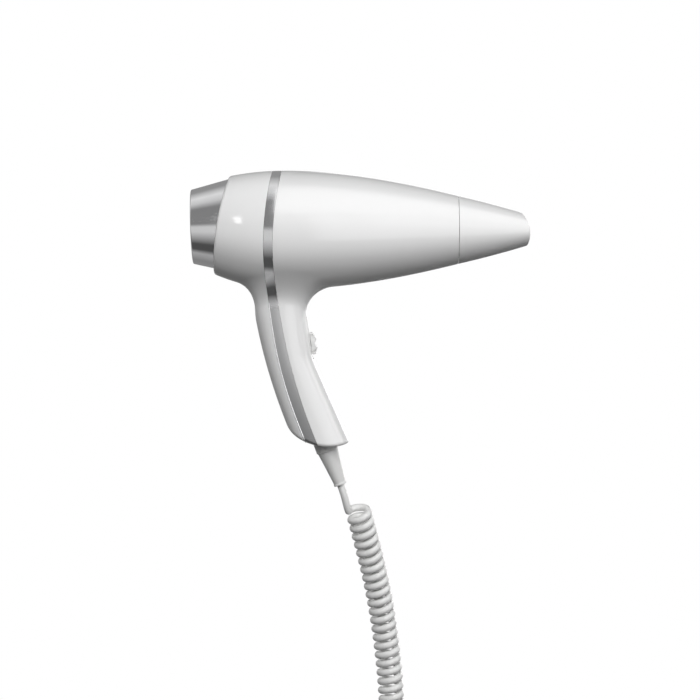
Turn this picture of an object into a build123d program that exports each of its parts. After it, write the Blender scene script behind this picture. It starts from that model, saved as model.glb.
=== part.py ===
from build123d import *
import math
import os

os.makedirs("parts", exist_ok=True)

# Hair dryer with a separate nozzle and a curly mains lead.  All sizes are in millimetres.
# The origin is the middle of the hand grip, +X is the way the air blows and +Z is up.

# Barrel
AXIS_Z = 98.4            # height of the barrel's axis over the middle of the grip
BELLY_X = -6.3           # where the barrel is widest
BELLY_R = 41.3
RIM_X = -58.0            # rear end of the moulded barrel form
RIM_R = 31.9
RIM_SLOPE = -0.36
RIM_RISE = 2.46          # how far the barrel's middle line climbs towards the rear
SEAM_X = 115.0           # where the nozzle begins
SEAM_R = 23.8
SEAM_SLOPE = -0.25
WALL = 2.4

# Grip
GRIP_TOP_Z = 84.0
GRIP_LOW_Z = -64.0
GRIP_REAR_X = -17.6      # rear outline at the middle of the grip
GRIP_REAR_LEAN = -0.288
GRIP_REAR_BOW = 0.00142
BEND_Z = 9.5             # where the front outline turns into the lower, steeper stretch
BEND_X = 13.5
BEND_BLEND = 4.0
FRONT_LEAN_UPPER = 0.136
FRONT_LEAN_LOWER = 0.445
NECK_SWEEP_Z = 34.0      # above this height the grip sweeps forward into the barrel
NECK_SWEEP = 0.008
GRIP_HALF_WIDTH = 15.5
GRIP_FLARE = 0.0006
GRIP_SQUARENESS = 2.5
SECTION_POINTS = 12
NECK_FILLET = 16.0
HEEL_FILLET = 2.5

# Parting lines, drawn in the side view
LIP_ARC_X = 182.1        # centre and radius of the arc that ends the rear shell
LIP_ARC_Z = 65.7
LIP_ARC_R = 237.1
LIP_DEPTH = 6.0
LIP_ROUND = 2.2
BAND_ARC_X = 227.0       # centre of the arcs on both sides of the trim band
BAND_ARC_Z = 88.0
BAND_ARC_R = 246.7
BAND_WIDTH = 6.3
STRIPE_TOP_Z = 58.0
STRIPE_MID = (-8.9, 3.2)
STRIPE_LOW = (13.6, -60.0)
STRIPE_WIDTH_MID = 7.8
STRIPE_WIDTH_LOW = 7.6
HEEL_ARC_X = 25.7        # the underside of the grip is an arc too
HEEL_ARC_Z = -4.7
HEEL_ARC_R = 47.4
SIDE = 140.0             # reach of the tools that cut the parting lines
REACH = 260.0
SKIM = 0.1               # how near an edge has to lie to a face to count as on it

# Intake
CAP_AXIS_Z = AXIS_Z + 2.2
CAP_TILT = 1.8           # degrees that the cap's rear end dips
CAP_END_X = -70.4
CAP_END_R = 25.8
CAP_SLOPE = 0.25
CAP_WALL = 2.0
CAP_SPIGOT_X = -38.0
CAP_RIM_ROUND = 1.6
GRILLE_RINGS = 5
GRILLE_SPOKES = 8
GRILLE_BAR = 1.3
GRILLE_THICK = 1.8
GRILLE_OPENING = 22.3
FILTER_THICK = 0.5
FILTER_HOOP = 2.5

# Nozzle and outlet
SPIGOT_R = 19.6
SPIGOT_WALL = 1.8
SPIGOT_LENGTH = 6.0
NOZZLE_GAP = 0.3
NOZZLE_FIT = 0.08
NOZZLE_WALL = 2.0
NOZZLE_TIP_X = 164.7
NOZZLE_MOUTH_HALF_HEIGHT = 10.2
NOZZLE_MOUTH_HALF_WIDTH = 13.0
NOZZLE_SWELL = 0.5       # how far the middle bulges beyond a straight taper
TIP_ARC_R = 22.3         # the mouth is cut to an arc in the side view
TIP_ARC_DROP = 2.45
NOSE_FLANGE = 4.0
OUTLET_RINGS = 2
OUTLET_SPOKES = 6
OUTLET_BAR = 1.2
OUTLET_THICK = 2.5

# Motor and fan
DUCT_R = 34.5
DUCT_WALL = 1.8
DUCT_REAR_X = -36.0
DUCT_FRONT_X = 22.0
CRADLE_WALL = 1.6
VANES = 7
VANE_PITCH = 18.0
VANE_CHORD = 24.0
VANE_THICK = 1.4
CAN_R = 14.0
CAN_WALL = 1.0
CAN_REAR_X = -13.0
CAN_FRONT_X = 16.0
MAGNET_THICK = 3.0
ARMATURE_GAP = 0.5
ARMATURE_X = -5.0
ARMATURE_LENGTH = 13.0
ARMATURE_POLES = 3
ARMATURE_HUB_R = 4.0
ARMATURE_SLOT = 4.5
ARMATURE_SHOE = 1.5
WINDING_HEAD = 3.0
SHAFT_R = 1.0
SHAFT_FIT = 0.04
BUSH_R = 3.0
BUSH_LENGTH = 4.0
COMMUTATOR_R = 3.0
COMMUTATOR_LENGTH = 4.0
END_CAP_LENGTH = 5.0
BRUSH_WIDTH = 2.5
BRUSH_ARM = 6.0
BRUSH_OUTER_R = 9.0
BRUSH_GAP = 0.05
BOARD_THICK = 1.6
BOARD_R = 12.0
DIODE_R = 1.3
DIODE_LENGTH = 5.0
DIODES = 4
DIODE_SINK = 0.3         # how far the diodes sit into their solder
HUB_DOME = 3.5           # rounding of the fan hub's nose
IMPELLER_X = -31.0
IMPELLER_LENGTH = 12.0
IMPELLER_HUB_R = 10.5
IMPELLER_TIP_GAP = 0.8
IMPELLER_BLADES = 9
BLADE_THICK = 1.4
BLADE_TWIST_ROOT = 38.0
BLADE_TWIST_TIP = 58.0

# Heater
HEATER_START_X = 28.0
HEATER_END_X = 98.0
SLEEVE_END_R = 23.5
SLEEVE_WALL = 0.6
MICA_THICK = 0.8
HEATER_TURNS = 9
HEATER_WIRE = 1.2
HEATER_CORNERS = 8
HEATER_RING_INSET = 5.0
SLEEVE_OVERLAP = 4.0
THERMOSTAT_X = 42.0
THERMOSTAT_UP = 8.0
THERMOSTAT_BASE = (10.0, 3.0, 5.0)
THERMOSTAT_STRIP = (14.0, 0.8, 4.0)
THERMOSTAT_REACH = 8.0   # from the base's middle to the strip's
FUSE_R = 2.0
FUSE_LENGTH = 9.0
FUSE_LEAD_R = 0.7
FUSE_LEAD_LENGTH = 17.0
TERMINAL_LENGTH = 12.0
TERMINAL_WIDTH = 16.0
TERMINAL_DEPTH = 6.0

# Fasteners and ribs of the two shells
SCREW_HEIGHTS = (40.0, -14.0)
SCREW_SHANK_R = 1.4
SCREW_HEAD_R = 2.8
SCREW_HEAD = 2.0
SCREW_REACH = 10.0
BOSS_R = 4.0
BOSS_FLOOR = 3.0
RIB_THICK = 2.0
RIB_LENGTH = 7.0
RIB_ANGLES = (0, 60, 120, 240, 300)

# Slide switch
SWITCH_Z = 19.0          # height of the knob's middle in the off position
KNOB_LENGTH = 15.0
KNOB_WIDTH = 9.0
KNOB_HEIGHT = 3.1
KNOB_RIDGES = 2
RIDGE_SPACING = 6.0
RIDGE_HEIGHT = 1.1
RIDGE_WIDTH = 2.4
KNOB_ROUND = 0.7
SWITCH_TRAVEL = 8.0
SLIDE_GAP = 0.3
BEZEL_LENGTH = 30.0
BEZEL_WIDTH = 11.0
BEZEL_THICK = 1.0
BEZEL_DEPTH = 1.2
STEM_LENGTH = 5.0
STEM_WIDTH = 3.0
SWITCH_BODY_LENGTH = 22.0
SWITCH_BODY_WIDTH = 9.0
SWITCH_BODY_DEPTH = 9.0
SWITCH_PAD_DEPTH = 5.0
SWITCH_SLOT_DEPTH = 3.0

# Mains lead
CORD_D = 5.2
COIL_D = 19.0
RELIEF_LEAN = 20.5       # degrees from the vertical
RELIEF_X = 22.6
RELIEF_Z = -52.6
RELIEF_LENGTH = 29.8
RELIEF_ROOT_R = 8.0
RELIEF_TIP_R = 4.4
RELIEF_COLLAR = 4.0
RELIEF_STEP = 0.5
RELIEF_FLANGE_R = 9.0
RELIEF_INSIDE = 7.0
RELIEF_NECK_R = 6.5

LEAD_END = 14.0
CLAMP_LENGTH = 8.0
CLAMP_WIDTH = 18.0
CLAMP_START = 2.0
CLAMP_THICK = 6.0
CLAMP_SCREW_R = 1.2
CLAMP_SCREW_Y = 6.0
WIRE_R = 0.9
WIRE_Y = 6.2
WIRE_BEND = 1.2
WIRE_STUB = 1.6
CAPACITOR_LENGTH = 11.0
CAPACITOR_DEPTH = 8.0

# Route of the curly stretch's middle line, then of the straight tail below it
COIL_ROUTE = [(45.4, 3.1, -98.6), (55.0, 14.9, -135.6), (62.6, 24.1, -173.8), (67.7, 30.0, -213.0),
              (70.5, 33.2, -252.8), (71.7, 34.4, -292.8), (72.1, 34.7, -332.8)]
COIL_MEAN_R = (COIL_D - CORD_D) / 2
LEAD_RUN = 6.5
TAIL_RUN = 9.5
TAIL_ROUTE = [(67.2, 35.1, -351.8), (67.2, 35.1, -361.3)]
ARC_SHARE = 0.45         # how much of a run each of its two bends may take

# Plug with two round pins
PLUG_LENGTH = 36.0
PLUG_WIDTH = 35.3
PLUG_THICK = 26.0
PLUG_RELIEF = 28.0
PLUG_RELIEF_TIP_R = 4.4
PLUG_RELIEF_ROOT_R = 6.5
PLUG_SHOULDER_WIDTH = 19.4
PLUG_SHOULDER_THICK = 15.6
PLUG_SHOULDER_ROUND = 6.5
PLUG_WAIST = 16.2        # from the shoulder down to the waist
PLUG_WAIST_WIDTH = 26.0
PLUG_WAIST_THICK = 18.7
PLUG_WAIST_ROUND = 7.8
PLUG_FACE_ROUND = 12.0
PLUG_ROUND = 2.0
PIN_D = 4.8
PIN_ROUND = 1.2
PIN_LENGTH = 19.0
PIN_SPACING = 19.0


def save(shape, name):
    export_step(shape, "parts/" + name + ".step")


def side_cut(edges):
    """A cutter drawn in the side view and carried across the whole width."""
    return extrude(Plane.XZ * make_face(edges), amount=SIDE, both=True)


def around_axis(profile, z=AXIS_Z):
    """Turn a profile of (x, radius) points or edges round a line along X at height z."""
    turned = revolve(Plane.XY * profile, Axis.X, 360)
    return Pos(0, 0, z) * turned


def ring(x_start, x_end, outer, inner, z=AXIS_Z):
    middle = Pos((x_start + x_end) / 2, 0, z) * Rot(0, 90, 0)
    return middle * (Cylinder(outer, x_end - x_start) - Cylinder(inner, 2 * (x_end - x_start)))


def disc(x_start, x_end, radius, z=AXIS_Z):
    return Pos((x_start + x_end) / 2, 0, z) * Rot(0, 90, 0) * Cylinder(radius, x_end - x_start)


def turned_about(shape, angle, z=AXIS_Z):
    """A copy of a shape turned about the line along X at height z."""
    return Pos(0, 0, z) * Rot(angle, 0, 0) * Pos(0, 0, -z) * shape


# ---------------------------------------------------------------- outer form

def blend(share, start, end, end_slope):
    """A curve that starts level and arrives at its end with the given slope."""
    return (start * (1 - 3 * share**2 + 2 * share**3) + end * (3 * share**2 - 2 * share**3)
            + end_slope * (share**3 - share**2))


def barrel_radius(x):
    if x >= BELLY_X:
        length = SEAM_X - BELLY_X
        return blend((x - BELLY_X) / length, BELLY_R, SEAM_R, SEAM_SLOPE * length)
    length = BELLY_X - RIM_X
    return blend((BELLY_X - x) / length, BELLY_R, RIM_R, RIM_SLOPE * length)


def barrel_middle(x):
    share = max(BELLY_X - x, 0) / (BELLY_X - RIM_X)
    return AXIS_Z + RIM_RISE * share**2


def barrel_form(inset):
    stations = [RIM_X, (RIM_X + BELLY_X) / 2]
    stations += [BELLY_X + (SEAM_X - BELLY_X) * i / 3 for i in range(4)]
    sections = []
    for x in stations:
        across = Plane(origin=(x, 0, barrel_middle(x)), x_dir=(0, 1, 0), z_dir=(1, 0, 0))
        sections.append(across * Circle(barrel_radius(x) - inset))
    return loft(sections)


def neck_sweep(z):
    return NECK_SWEEP * max(z - NECK_SWEEP_Z, 0) ** 2


def grip_front(z):
    drop = BEND_Z - z
    bent = (drop + math.sqrt(drop**2 + BEND_BLEND**2)) / 2
    leaning = FRONT_LEAN_UPPER * drop + (FRONT_LEAN_LOWER - FRONT_LEAN_UPPER) * bent
    return BEND_X + leaning + neck_sweep(z)


def grip_rear(z):
    return GRIP_REAR_X + GRIP_REAR_LEAN * z + GRIP_REAR_BOW * z**2 + neck_sweep(z)


def grip_section(z, inset):
    """A rounded, slightly square slice of the grip."""
    middle = (grip_front(z) + grip_rear(z)) / 2
    half_depth = (grip_front(z) - grip_rear(z)) / 2 - inset
    half_width = GRIP_HALF_WIDTH + GRIP_FLARE * (z - BEND_Z) ** 2 - inset
    points = []
    for step in range(SECTION_POINTS):
        angle = math.tau * step / SECTION_POINTS
        along = math.copysign(abs(math.cos(angle)) ** (2 / GRIP_SQUARENESS), math.cos(angle))
        across = math.copysign(abs(math.sin(angle)) ** (2 / GRIP_SQUARENESS), math.sin(angle))
        points.append((middle + half_depth * along, half_width * across))
    return Plane(origin=(0, 0, z)) * make_face(Spline(*points, periodic=True))


def grip_form(inset):
    lower = [GRIP_LOW_Z, (GRIP_LOW_Z + BEND_Z) / 2, BEND_Z - 4 * BEND_BLEND, BEND_Z]
    upper = [NECK_SWEEP_Z, (NECK_SWEEP_Z + GRIP_TOP_Z) / 2, GRIP_TOP_Z]
    return loft([grip_section(z, inset) for z in lower + upper])


def body_form(inset):
    """Barrel and grip in one, with the neck between them rounded."""
    body = barrel_form(inset) + grip_form(inset)
    low = AXIS_Z - BELLY_R - NECK_FILLET
    neck = [e for e in body.edges() if low < e.center().Z < AXIS_Z - BELLY_R / 2
            and abs(e.center().X) < BELLY_R]
    return fillet(neck, NECK_FILLET + inset)


def across(x, z, radius):
    """A cylinder that lies across the dryer, along Y."""
    return Pos(x, 0, z) * Rot(90, 0, 0) * Cylinder(radius, 2 * SIDE)


def below_heel(raised):
    depth = HEEL_ARC_R * 2
    block = Pos(HEEL_ARC_X, 0, HEEL_ARC_Z - depth / 2) * Box(2 * HEEL_ARC_R, 2 * SIDE, depth)
    return block - across(HEEL_ARC_X, HEEL_ARC_Z, HEEL_ARC_R - raised)


def outer_body():
    """The whole outside: cut at the rear lip and the heel, with both edges rounded."""
    shape = body_form(0) & across(LIP_ARC_X, LIP_ARC_Z, LIP_ARC_R)
    shape = shape - below_heel(0)
    lip = [e for e in shape.edges() if e.center().X < LIP_ARC_X - LIP_ARC_R + 2 * LIP_DEPTH]
    shape = fillet(lip, LIP_ROUND)
    heel = [e for e in shape.edges() if e.center().Z < HEEL_ARC_Z - HEEL_ARC_R / 2]
    return fillet(heel, HEEL_FILLET)


def inner_body():
    """The room inside the shells, closed at the lip, the nose and the heel."""
    shape = body_form(WALL) & across(LIP_ARC_X + LIP_DEPTH, LIP_ARC_Z, LIP_ARC_R)
    nose = Pos(SEAM_X - NOSE_FLANGE + REACH / 2, 0, AXIS_Z) * Box(REACH, 2 * SIDE, 2 * SIDE)
    return shape - nose - below_heel(WALL)


# ------------------------------------------------------------- parting lines

def band_edge(offset, middle_offset, low_offset):
    """One side line of the trim: an arc round the barrel that runs on down the grip."""
    radius = BAND_ARC_R - offset
    top_z = AXIS_Z + BELLY_R + 2 * WALL
    heights = [top_z, BAND_ARC_Z, STRIPE_TOP_Z]
    points = [(BAND_ARC_X - math.sqrt(radius**2 - (z - BAND_ARC_Z) ** 2), z) for z in heights]
    lean = (BAND_ARC_Z - STRIPE_TOP_Z) / radius
    middle = (STRIPE_MID[0] + middle_offset, STRIPE_MID[1])
    low = (STRIPE_LOW[0] + low_offset, STRIPE_LOW[1])
    low_lean = FRONT_LEAN_LOWER
    stripe = Spline(points[2], middle, low, tangents=((lean, -1), (low_lean, -1)))
    return [ThreePointArc(*points), stripe]


def behind(edge):
    """The room on the rear side of a band edge."""
    top = edge[0] @ 0
    low = edge[1] @ 1
    return side_cut(edge + [Polyline(low, (-REACH, low.Y), (-REACH, top.Y), top)])


# ------------------------------------------------------- frames of reference

def tilted(x, z, lean):
    """A frame in the side view: its Z points out along a line that leans from the horizontal."""
    out = math.radians(lean)
    return Plane(origin=(x, 0, z), x_dir=(-math.sin(out), 0, math.cos(out)),
                 z_dir=(math.cos(out), 0, math.sin(out)))


SWITCH = tilted(grip_front(SWITCH_Z), SWITCH_Z, math.degrees(math.atan(FRONT_LEAN_UPPER)))
RELIEF = tilted(RELIEF_X, RELIEF_Z, RELIEF_LEAN - 90)


def grip_middle(z):
    return (grip_front(z) + grip_rear(z)) / 2


def along_x(x_start, x_end, z, radius):
    return Pos((x_start + x_end) / 2, 0, z) * Rot(0, 90, 0) * Cylinder(radius, x_end - x_start)


def support_ribs(x_start, core):
    """Radial ribs that reach from a round part inside the barrel out into the shell."""
    height = 2 * BELLY_R
    rib = Pos(x_start + RIB_LENGTH / 2, 0, AXIS_Z + height / 2) * Box(RIB_LENGTH, RIB_THICK, height)
    ribs = Compound([turned_about(rib, angle) for angle in RIB_ANGLES])
    return (barrel_form(WALL / 2) - core) & ribs


# ------------------------------------------------------------------- housing

def cap_radius(x):
    return CAP_END_R + CAP_SLOPE * (x - CAP_END_X)


def cap_cone(inset, x_start=CAP_END_X, x_end=CAP_SPIGOT_X):
    profile = Polyline((x_start, 0), (x_start, cap_radius(x_start) - inset),
                       (x_end, cap_radius(x_end) - inset), (x_end, 0), (x_start, 0))
    return around_axis(make_face(profile), CAP_AXIS_Z)


def dipped(shape):
    """The intake parts lie on a line that dips towards the rear."""
    return Pos(CAP_END_X, 0, CAP_AXIS_Z) * Rot(0, -CAP_TILT, 0) * Pos(-CAP_END_X, 0, -CAP_AXIS_Z) * shape


def rear_housing(shell, rear_side):
    housing = (shell & rear_side) - dipped(cap_cone(0))
    housing += support_ribs(DUCT_REAR_X + RIB_THICK, disc(DUCT_REAR_X, DUCT_FRONT_X, DUCT_R))
    for z in SCREW_HEIGHTS:
        start = grip_rear(z) + WALL / 2
        end = grip_middle(z)
        housing += along_x(start, end, z, BOSS_R)
        housing -= along_x(start - 2 * WALL, end - BOSS_FLOOR, z, SCREW_HEAD_R)
        housing -= along_x(start, end + BOSS_FLOOR, z, SCREW_SHANK_R)
    return housing


def front_housing(shell, band_and_rear):
    housing = shell - band_and_rear
    housing += ring(SEAM_X - NOSE_FLANGE, SEAM_X + SPIGOT_LENGTH, SPIGOT_R, SPIGOT_R - SPIGOT_WALL)
    housing -= disc(SEAM_X - 2 * NOSE_FLANGE, SEAM_X + REACH, SPIGOT_R - SPIGOT_WALL)
    housing += support_ribs(DUCT_FRONT_X - 2 * RIB_LENGTH, disc(DUCT_REAR_X, DUCT_FRONT_X, DUCT_R))
    housing += support_ribs(HEATER_END_X - RIB_LENGTH, sleeve_cone(HEATER_START_X, HEATER_END_X, 0))
    for z in SCREW_HEIGHTS:
        start = grip_middle(z)
        housing += along_x(start, grip_front(z) - WALL / 2, z, BOSS_R)
        housing -= along_x(start - BOSS_FLOOR, start + SCREW_REACH, z, SCREW_SHANK_R)
    return housing


# -------------------------------------------------------------- intake parts

def rear_cap():
    """The plated cap: a cone with a rounded rim round the air intake."""
    cap = cap_cone(0)
    rim = [e for e in cap.edges() if e.center().X < CAP_END_X + SKIM]
    cap = fillet(rim, CAP_RIM_ROUND)
    cap -= cap_cone(CAP_WALL, CAP_END_X + CAP_WALL, CAP_SPIGOT_X + CAP_WALL)
    opening = disc(CAP_END_X - CAP_WALL, CAP_END_X + 2 * CAP_WALL, GRILLE_OPENING, CAP_AXIS_Z)
    return dipped(cap - opening)


def spoked_grille(x_start, x_end, outer, bar, rings, spokes, z):
    """Concentric rings joined by spokes, round a middle disc of half a step."""
    step = 2 * (outer - bar) / (2 * rings + 1)
    grille = ring(x_start, x_end, outer, outer - bar, z) + disc(x_start, x_end, step / 2, z)
    for index in range(1, rings):
        radius = outer - index * step
        grille += ring(x_start, x_end, radius, radius - bar, z)
    reach = outer - bar / 2
    spoke = Pos((x_start + x_end) / 2, 0, z + reach / 2) * Box(x_end - x_start, bar, reach)
    for index in range(spokes):
        grille += turned_about(spoke, 360 * index / spokes, z)
    return grille


def intake_grille():
    start = CAP_END_X + CAP_WALL
    outer = cap_radius(start) - CAP_WALL
    return dipped(spoked_grille(start, start + GRILLE_THICK, outer, GRILLE_BAR, GRILLE_RINGS,
                                GRILLE_SPOKES, CAP_AXIS_Z))


def lint_filter():
    """A fine screen in a thin hoop, pressed in behind the grille."""
    start = CAP_END_X + CAP_WALL + GRILLE_THICK
    outer = cap_radius(start) - CAP_WALL
    hoop = ring(start, start + FILTER_HOOP, outer, outer - CAP_WALL, CAP_AXIS_Z)
    return dipped(hoop + disc(start, start + FILTER_THICK, outer, CAP_AXIS_Z))


# ---------------------------------------------------------------- air outlet

def nozzle_section(x, half_height, half_width):
    plane = Plane(origin=(x, 0, AXIS_Z), x_dir=(0, 1, 0), z_dir=(1, 0, 0))
    return plane * Ellipse(half_width, half_height)


def nozzle_skin(start, inset):
    """The nozzle narrows from round to a slightly wide oval."""
    start_r = barrel_radius(start) if start < SEAM_X else SEAM_R + SEAM_SLOPE * (start - SEAM_X)
    middle = (start + NOZZLE_TIP_X) / 2
    mid_r = (start_r + NOZZLE_MOUTH_HALF_HEIGHT) / 2 + NOZZLE_SWELL
    mid_wide = (start_r + NOZZLE_MOUTH_HALF_WIDTH) / 2 + NOZZLE_SWELL
    return loft([nozzle_section(start, start_r - inset, start_r - inset),
                 nozzle_section(middle, mid_r - inset, mid_wide - inset),
                 nozzle_section(NOZZLE_TIP_X + 1, NOZZLE_MOUTH_HALF_HEIGHT - inset,
                                NOZZLE_MOUTH_HALF_WIDTH - inset)])


def nozzle():
    start = SEAM_X + NOZZLE_GAP
    spigot_end = SEAM_X + SPIGOT_LENGTH + NOZZLE_GAP
    skin = nozzle_skin(start, 0)
    skin -= disc(start - 1, spigot_end, SPIGOT_R + NOZZLE_FIT)
    skin -= nozzle_skin(spigot_end, NOZZLE_WALL)
    arc_x = NOZZLE_TIP_X - TIP_ARC_R
    face = across(arc_x, AXIS_Z - TIP_ARC_DROP, TIP_ARC_R)
    beyond = Pos(arc_x + TIP_ARC_R, 0, AXIS_Z) * Box(2 * TIP_ARC_R, 2 * SIDE, 4 * TIP_ARC_R)
    return skin - (beyond - face)


def outlet_grille():
    end = SEAM_X + SPIGOT_LENGTH
    return spoked_grille(end - OUTLET_THICK, end, SPIGOT_R - SPIGOT_WALL, OUTLET_BAR,
                         OUTLET_RINGS, OUTLET_SPOKES, AXIS_Z)


# ------------------------------------------------------------- motor and fan

def fan_duct():
    """The air duct, with guide vanes that carry the motor's cradle in its middle."""
    duct = ring(DUCT_REAR_X, DUCT_FRONT_X, DUCT_R, DUCT_R - DUCT_WALL)
    duct += ring(CAN_REAR_X, CAN_FRONT_X, CAN_R + CRADLE_WALL, CAN_R)
    span = DUCT_R - CAN_R - CRADLE_WALL
    middle_r = (DUCT_R - DUCT_WALL + CAN_R + CRADLE_WALL) / 2
    middle_x = (CAN_REAR_X + CAN_FRONT_X) / 2
    vane = Pos(middle_x, 0, AXIS_Z + middle_r) * Rot(0, 0, VANE_PITCH) * Box(VANE_CHORD, VANE_THICK, span)
    for index in range(VANES):
        duct += turned_about(vane, 360 * index / VANES)
    return duct


def motor_can():
    can = ring(CAN_REAR_X, CAN_FRONT_X, CAN_R, CAN_R - CAN_WALL)
    can += ring(CAN_REAR_X, CAN_REAR_X + CAN_WALL, CAN_R, BUSH_R)
    return can + ring(CAN_REAR_X - BUSH_LENGTH + CAN_WALL, CAN_REAR_X + CAN_WALL, BUSH_R + CAN_WALL, BUSH_R)


def motor_end_cap():
    """Closes the can, holds the front bush and carries two brush arms."""
    cap = ring(CAN_FRONT_X, CAN_FRONT_X + END_CAP_LENGTH, CAN_R, BUSH_R)
    depth = CAN_R - CAN_WALL - BRUSH_OUTER_R
    for side in (-1, 1):
        arm = Pos(CAN_FRONT_X - BRUSH_ARM / 2, 0, AXIS_Z + side * (BRUSH_OUTER_R + depth / 2))
        cap += arm * Box(BRUSH_ARM, 2 * BRUSH_WIDTH, depth - 2 * SLIDE_GAP)
    return cap


def brushes():
    start = COMMUTATOR_R + BRUSH_GAP
    height = BRUSH_OUTER_R + SLIDE_GAP - start
    middle = CAN_FRONT_X - BRUSH_ARM + COMMUTATOR_LENGTH / 2
    pair = []
    for side in (-1, 1):
        place = Pos(middle, 0, AXIS_Z + side * (start + height / 2))
        pair.append(place * Box(COMMUTATOR_LENGTH, BRUSH_WIDTH, height))
    return Compound(pair)


def motor_bushes():
    rear = CAN_REAR_X - BUSH_LENGTH + CAN_WALL
    pair = [ring(start, start + BUSH_LENGTH, BUSH_R, SHAFT_R + SHAFT_FIT)
            for start in (rear, CAN_FRONT_X + END_CAP_LENGTH - BUSH_LENGTH)]
    return Compound(pair)


def motor_magnets():
    """Two half shells, parted at the sides."""
    outer = CAN_R - CAN_WALL
    shells = ring(ARMATURE_X - 1, ARMATURE_X + ARMATURE_LENGTH + 1, outer, outer - MAGNET_THICK)
    return shells - Pos(0, 0, AXIS_Z) * Box(2 * SIDE, 2 * SIDE, MAGNET_THICK * 2)


def armature_core():
    outer = CAN_R - CAN_WALL - MAGNET_THICK - ARMATURE_GAP
    core = ring(ARMATURE_X, ARMATURE_X + ARMATURE_LENGTH, outer, SHAFT_R)
    slot_depth = outer - ARMATURE_HUB_R
    slot = Pos(ARMATURE_X, 0, AXIS_Z + ARMATURE_HUB_R + slot_depth / 2 - ARMATURE_SHOE)
    for index in range(ARMATURE_POLES):
        angle = 360 * (index + 0.5) / ARMATURE_POLES
        core -= turned_about(slot * Box(SIDE, ARMATURE_SLOT, slot_depth), angle)
        core -= turned_about(slot * Pos(0, 0, slot_depth) * Box(SIDE, SHAFT_R, slot_depth), angle)
    return core


def armature_windings():
    """The copper heads that stand out at both ends of the core."""
    rear = ring(ARMATURE_X - WINDING_HEAD, ARMATURE_X, ARMATURE_HUB_R + WINDING_HEAD, SHAFT_R)
    start = ARMATURE_X + ARMATURE_LENGTH
    return Compound([rear, ring(start, start + WINDING_HEAD / 2, ARMATURE_HUB_R + WINDING_HEAD, SHAFT_R)])


def commutator():
    start = CAN_FRONT_X - BRUSH_ARM
    return ring(start, start + COMMUTATOR_LENGTH, COMMUTATOR_R, SHAFT_R)


def motor_shaft():
    end = CAN_FRONT_X + END_CAP_LENGTH - SLIDE_GAP
    return disc(IMPELLER_X, end, SHAFT_R)


def blade_slice(radius, twist):
    chord = (IMPELLER_LENGTH - BLADE_THICK) / math.cos(math.radians(twist))
    middle = IMPELLER_X + IMPELLER_LENGTH / 2
    plane = Plane(origin=(middle, 0, AXIS_Z + radius), x_dir=(1, 0, 0), z_dir=(0, 0, 1))
    return plane * Rot(0, 0, twist) * RectangleRounded(chord, BLADE_THICK, BLADE_THICK / 3)


def impeller():
    """An axial fan: a domed hub with blades that twist from root to tip."""
    end = IMPELLER_X + IMPELLER_LENGTH
    fan = ring(IMPELLER_X, end, IMPELLER_HUB_R, SHAFT_R)
    nose = [e for e in fan.edges() if e.center().X < IMPELLER_X + SKIM and e.length > 3 * IMPELLER_HUB_R]
    fan = fillet(nose, HUB_DOME)
    tip_r = DUCT_R - DUCT_WALL - IMPELLER_TIP_GAP
    blade = loft([blade_slice(IMPELLER_HUB_R - 1.5 * BLADE_THICK, BLADE_TWIST_ROOT),
                  blade_slice(DUCT_R + BLADE_THICK, BLADE_TWIST_TIP)], ruled=True)
    blade = blade & disc(IMPELLER_X, end, tip_r)
    for index in range(IMPELLER_BLADES):
        fan += turned_about(blade, 360 * index / IMPELLER_BLADES)
    return fan


def rectifier_board():
    """A round board on the motor's end cap with four diodes on it."""
    start = CAN_FRONT_X + END_CAP_LENGTH
    board = disc(start, start + BOARD_THICK, BOARD_R)
    for index in range(DIODES):
        diode = Pos(start + BOARD_THICK + DIODE_R - DIODE_SINK, 0, AXIS_Z + BOARD_R / 2) * Rot(90, 0, 0)
        board += turned_about(diode * Cylinder(DIODE_R, DIODE_LENGTH), 360 * index / DIODES)
    return board


# -------------------------------------------------------------------- heater

def sleeve_radius(x):
    start = DUCT_FRONT_X - SLEEVE_OVERLAP
    share = (x - start) / (HEATER_END_X - start)
    return (DUCT_R - DUCT_WALL) * (1 - share) + SLEEVE_END_R * share


def sleeve_cone(x_start, x_end, inset):
    profile = Polyline((x_start, 0), (x_start, sleeve_radius(x_start) - inset),
                       (x_end, sleeve_radius(x_end) - inset), (x_end, 0), (x_start, 0))
    return around_axis(make_face(profile))


def mica_sleeve():
    start = DUCT_FRONT_X - SLEEVE_OVERLAP
    return sleeve_cone(start, HEATER_END_X, 0) - sleeve_cone(start - 1, HEATER_END_X + 1, SLEEVE_WALL)


def heater_rings():
    """The turns of resistance wire, drawn as flat-sided hoops round the mica cross."""
    hoops = []
    pitch = (HEATER_END_X - HEATER_START_X) / HEATER_TURNS
    for index in range(HEATER_TURNS):
        x = HEATER_START_X + pitch / 2 + pitch * index
        radius = sleeve_radius(x) - HEATER_RING_INSET
        plane = Plane(origin=(x, 0, AXIS_Z), x_dir=(0, 1, 0), z_dir=(1, 0, 0))
        hoop = RegularPolygon(radius, HEATER_CORNERS) - RegularPolygon(radius - HEATER_WIRE, HEATER_CORNERS)
        hoops.append(extrude(plane * hoop, HEATER_WIRE / 2, both=True))
    return Compound(hoops)


def heater_frame(hoops):
    """Two mica boards that cross on the axis, notched for the wire."""
    length = HEATER_END_X - HEATER_START_X
    middle = Pos((HEATER_START_X + HEATER_END_X) / 2, 0, AXIS_Z)
    boards = middle * Box(length, MICA_THICK, 2 * DUCT_R) + middle * Box(length, 2 * DUCT_R, MICA_THICK)
    boards = boards & sleeve_cone(HEATER_START_X, HEATER_END_X, SLEEVE_WALL)
    return boards - hoops


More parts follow.
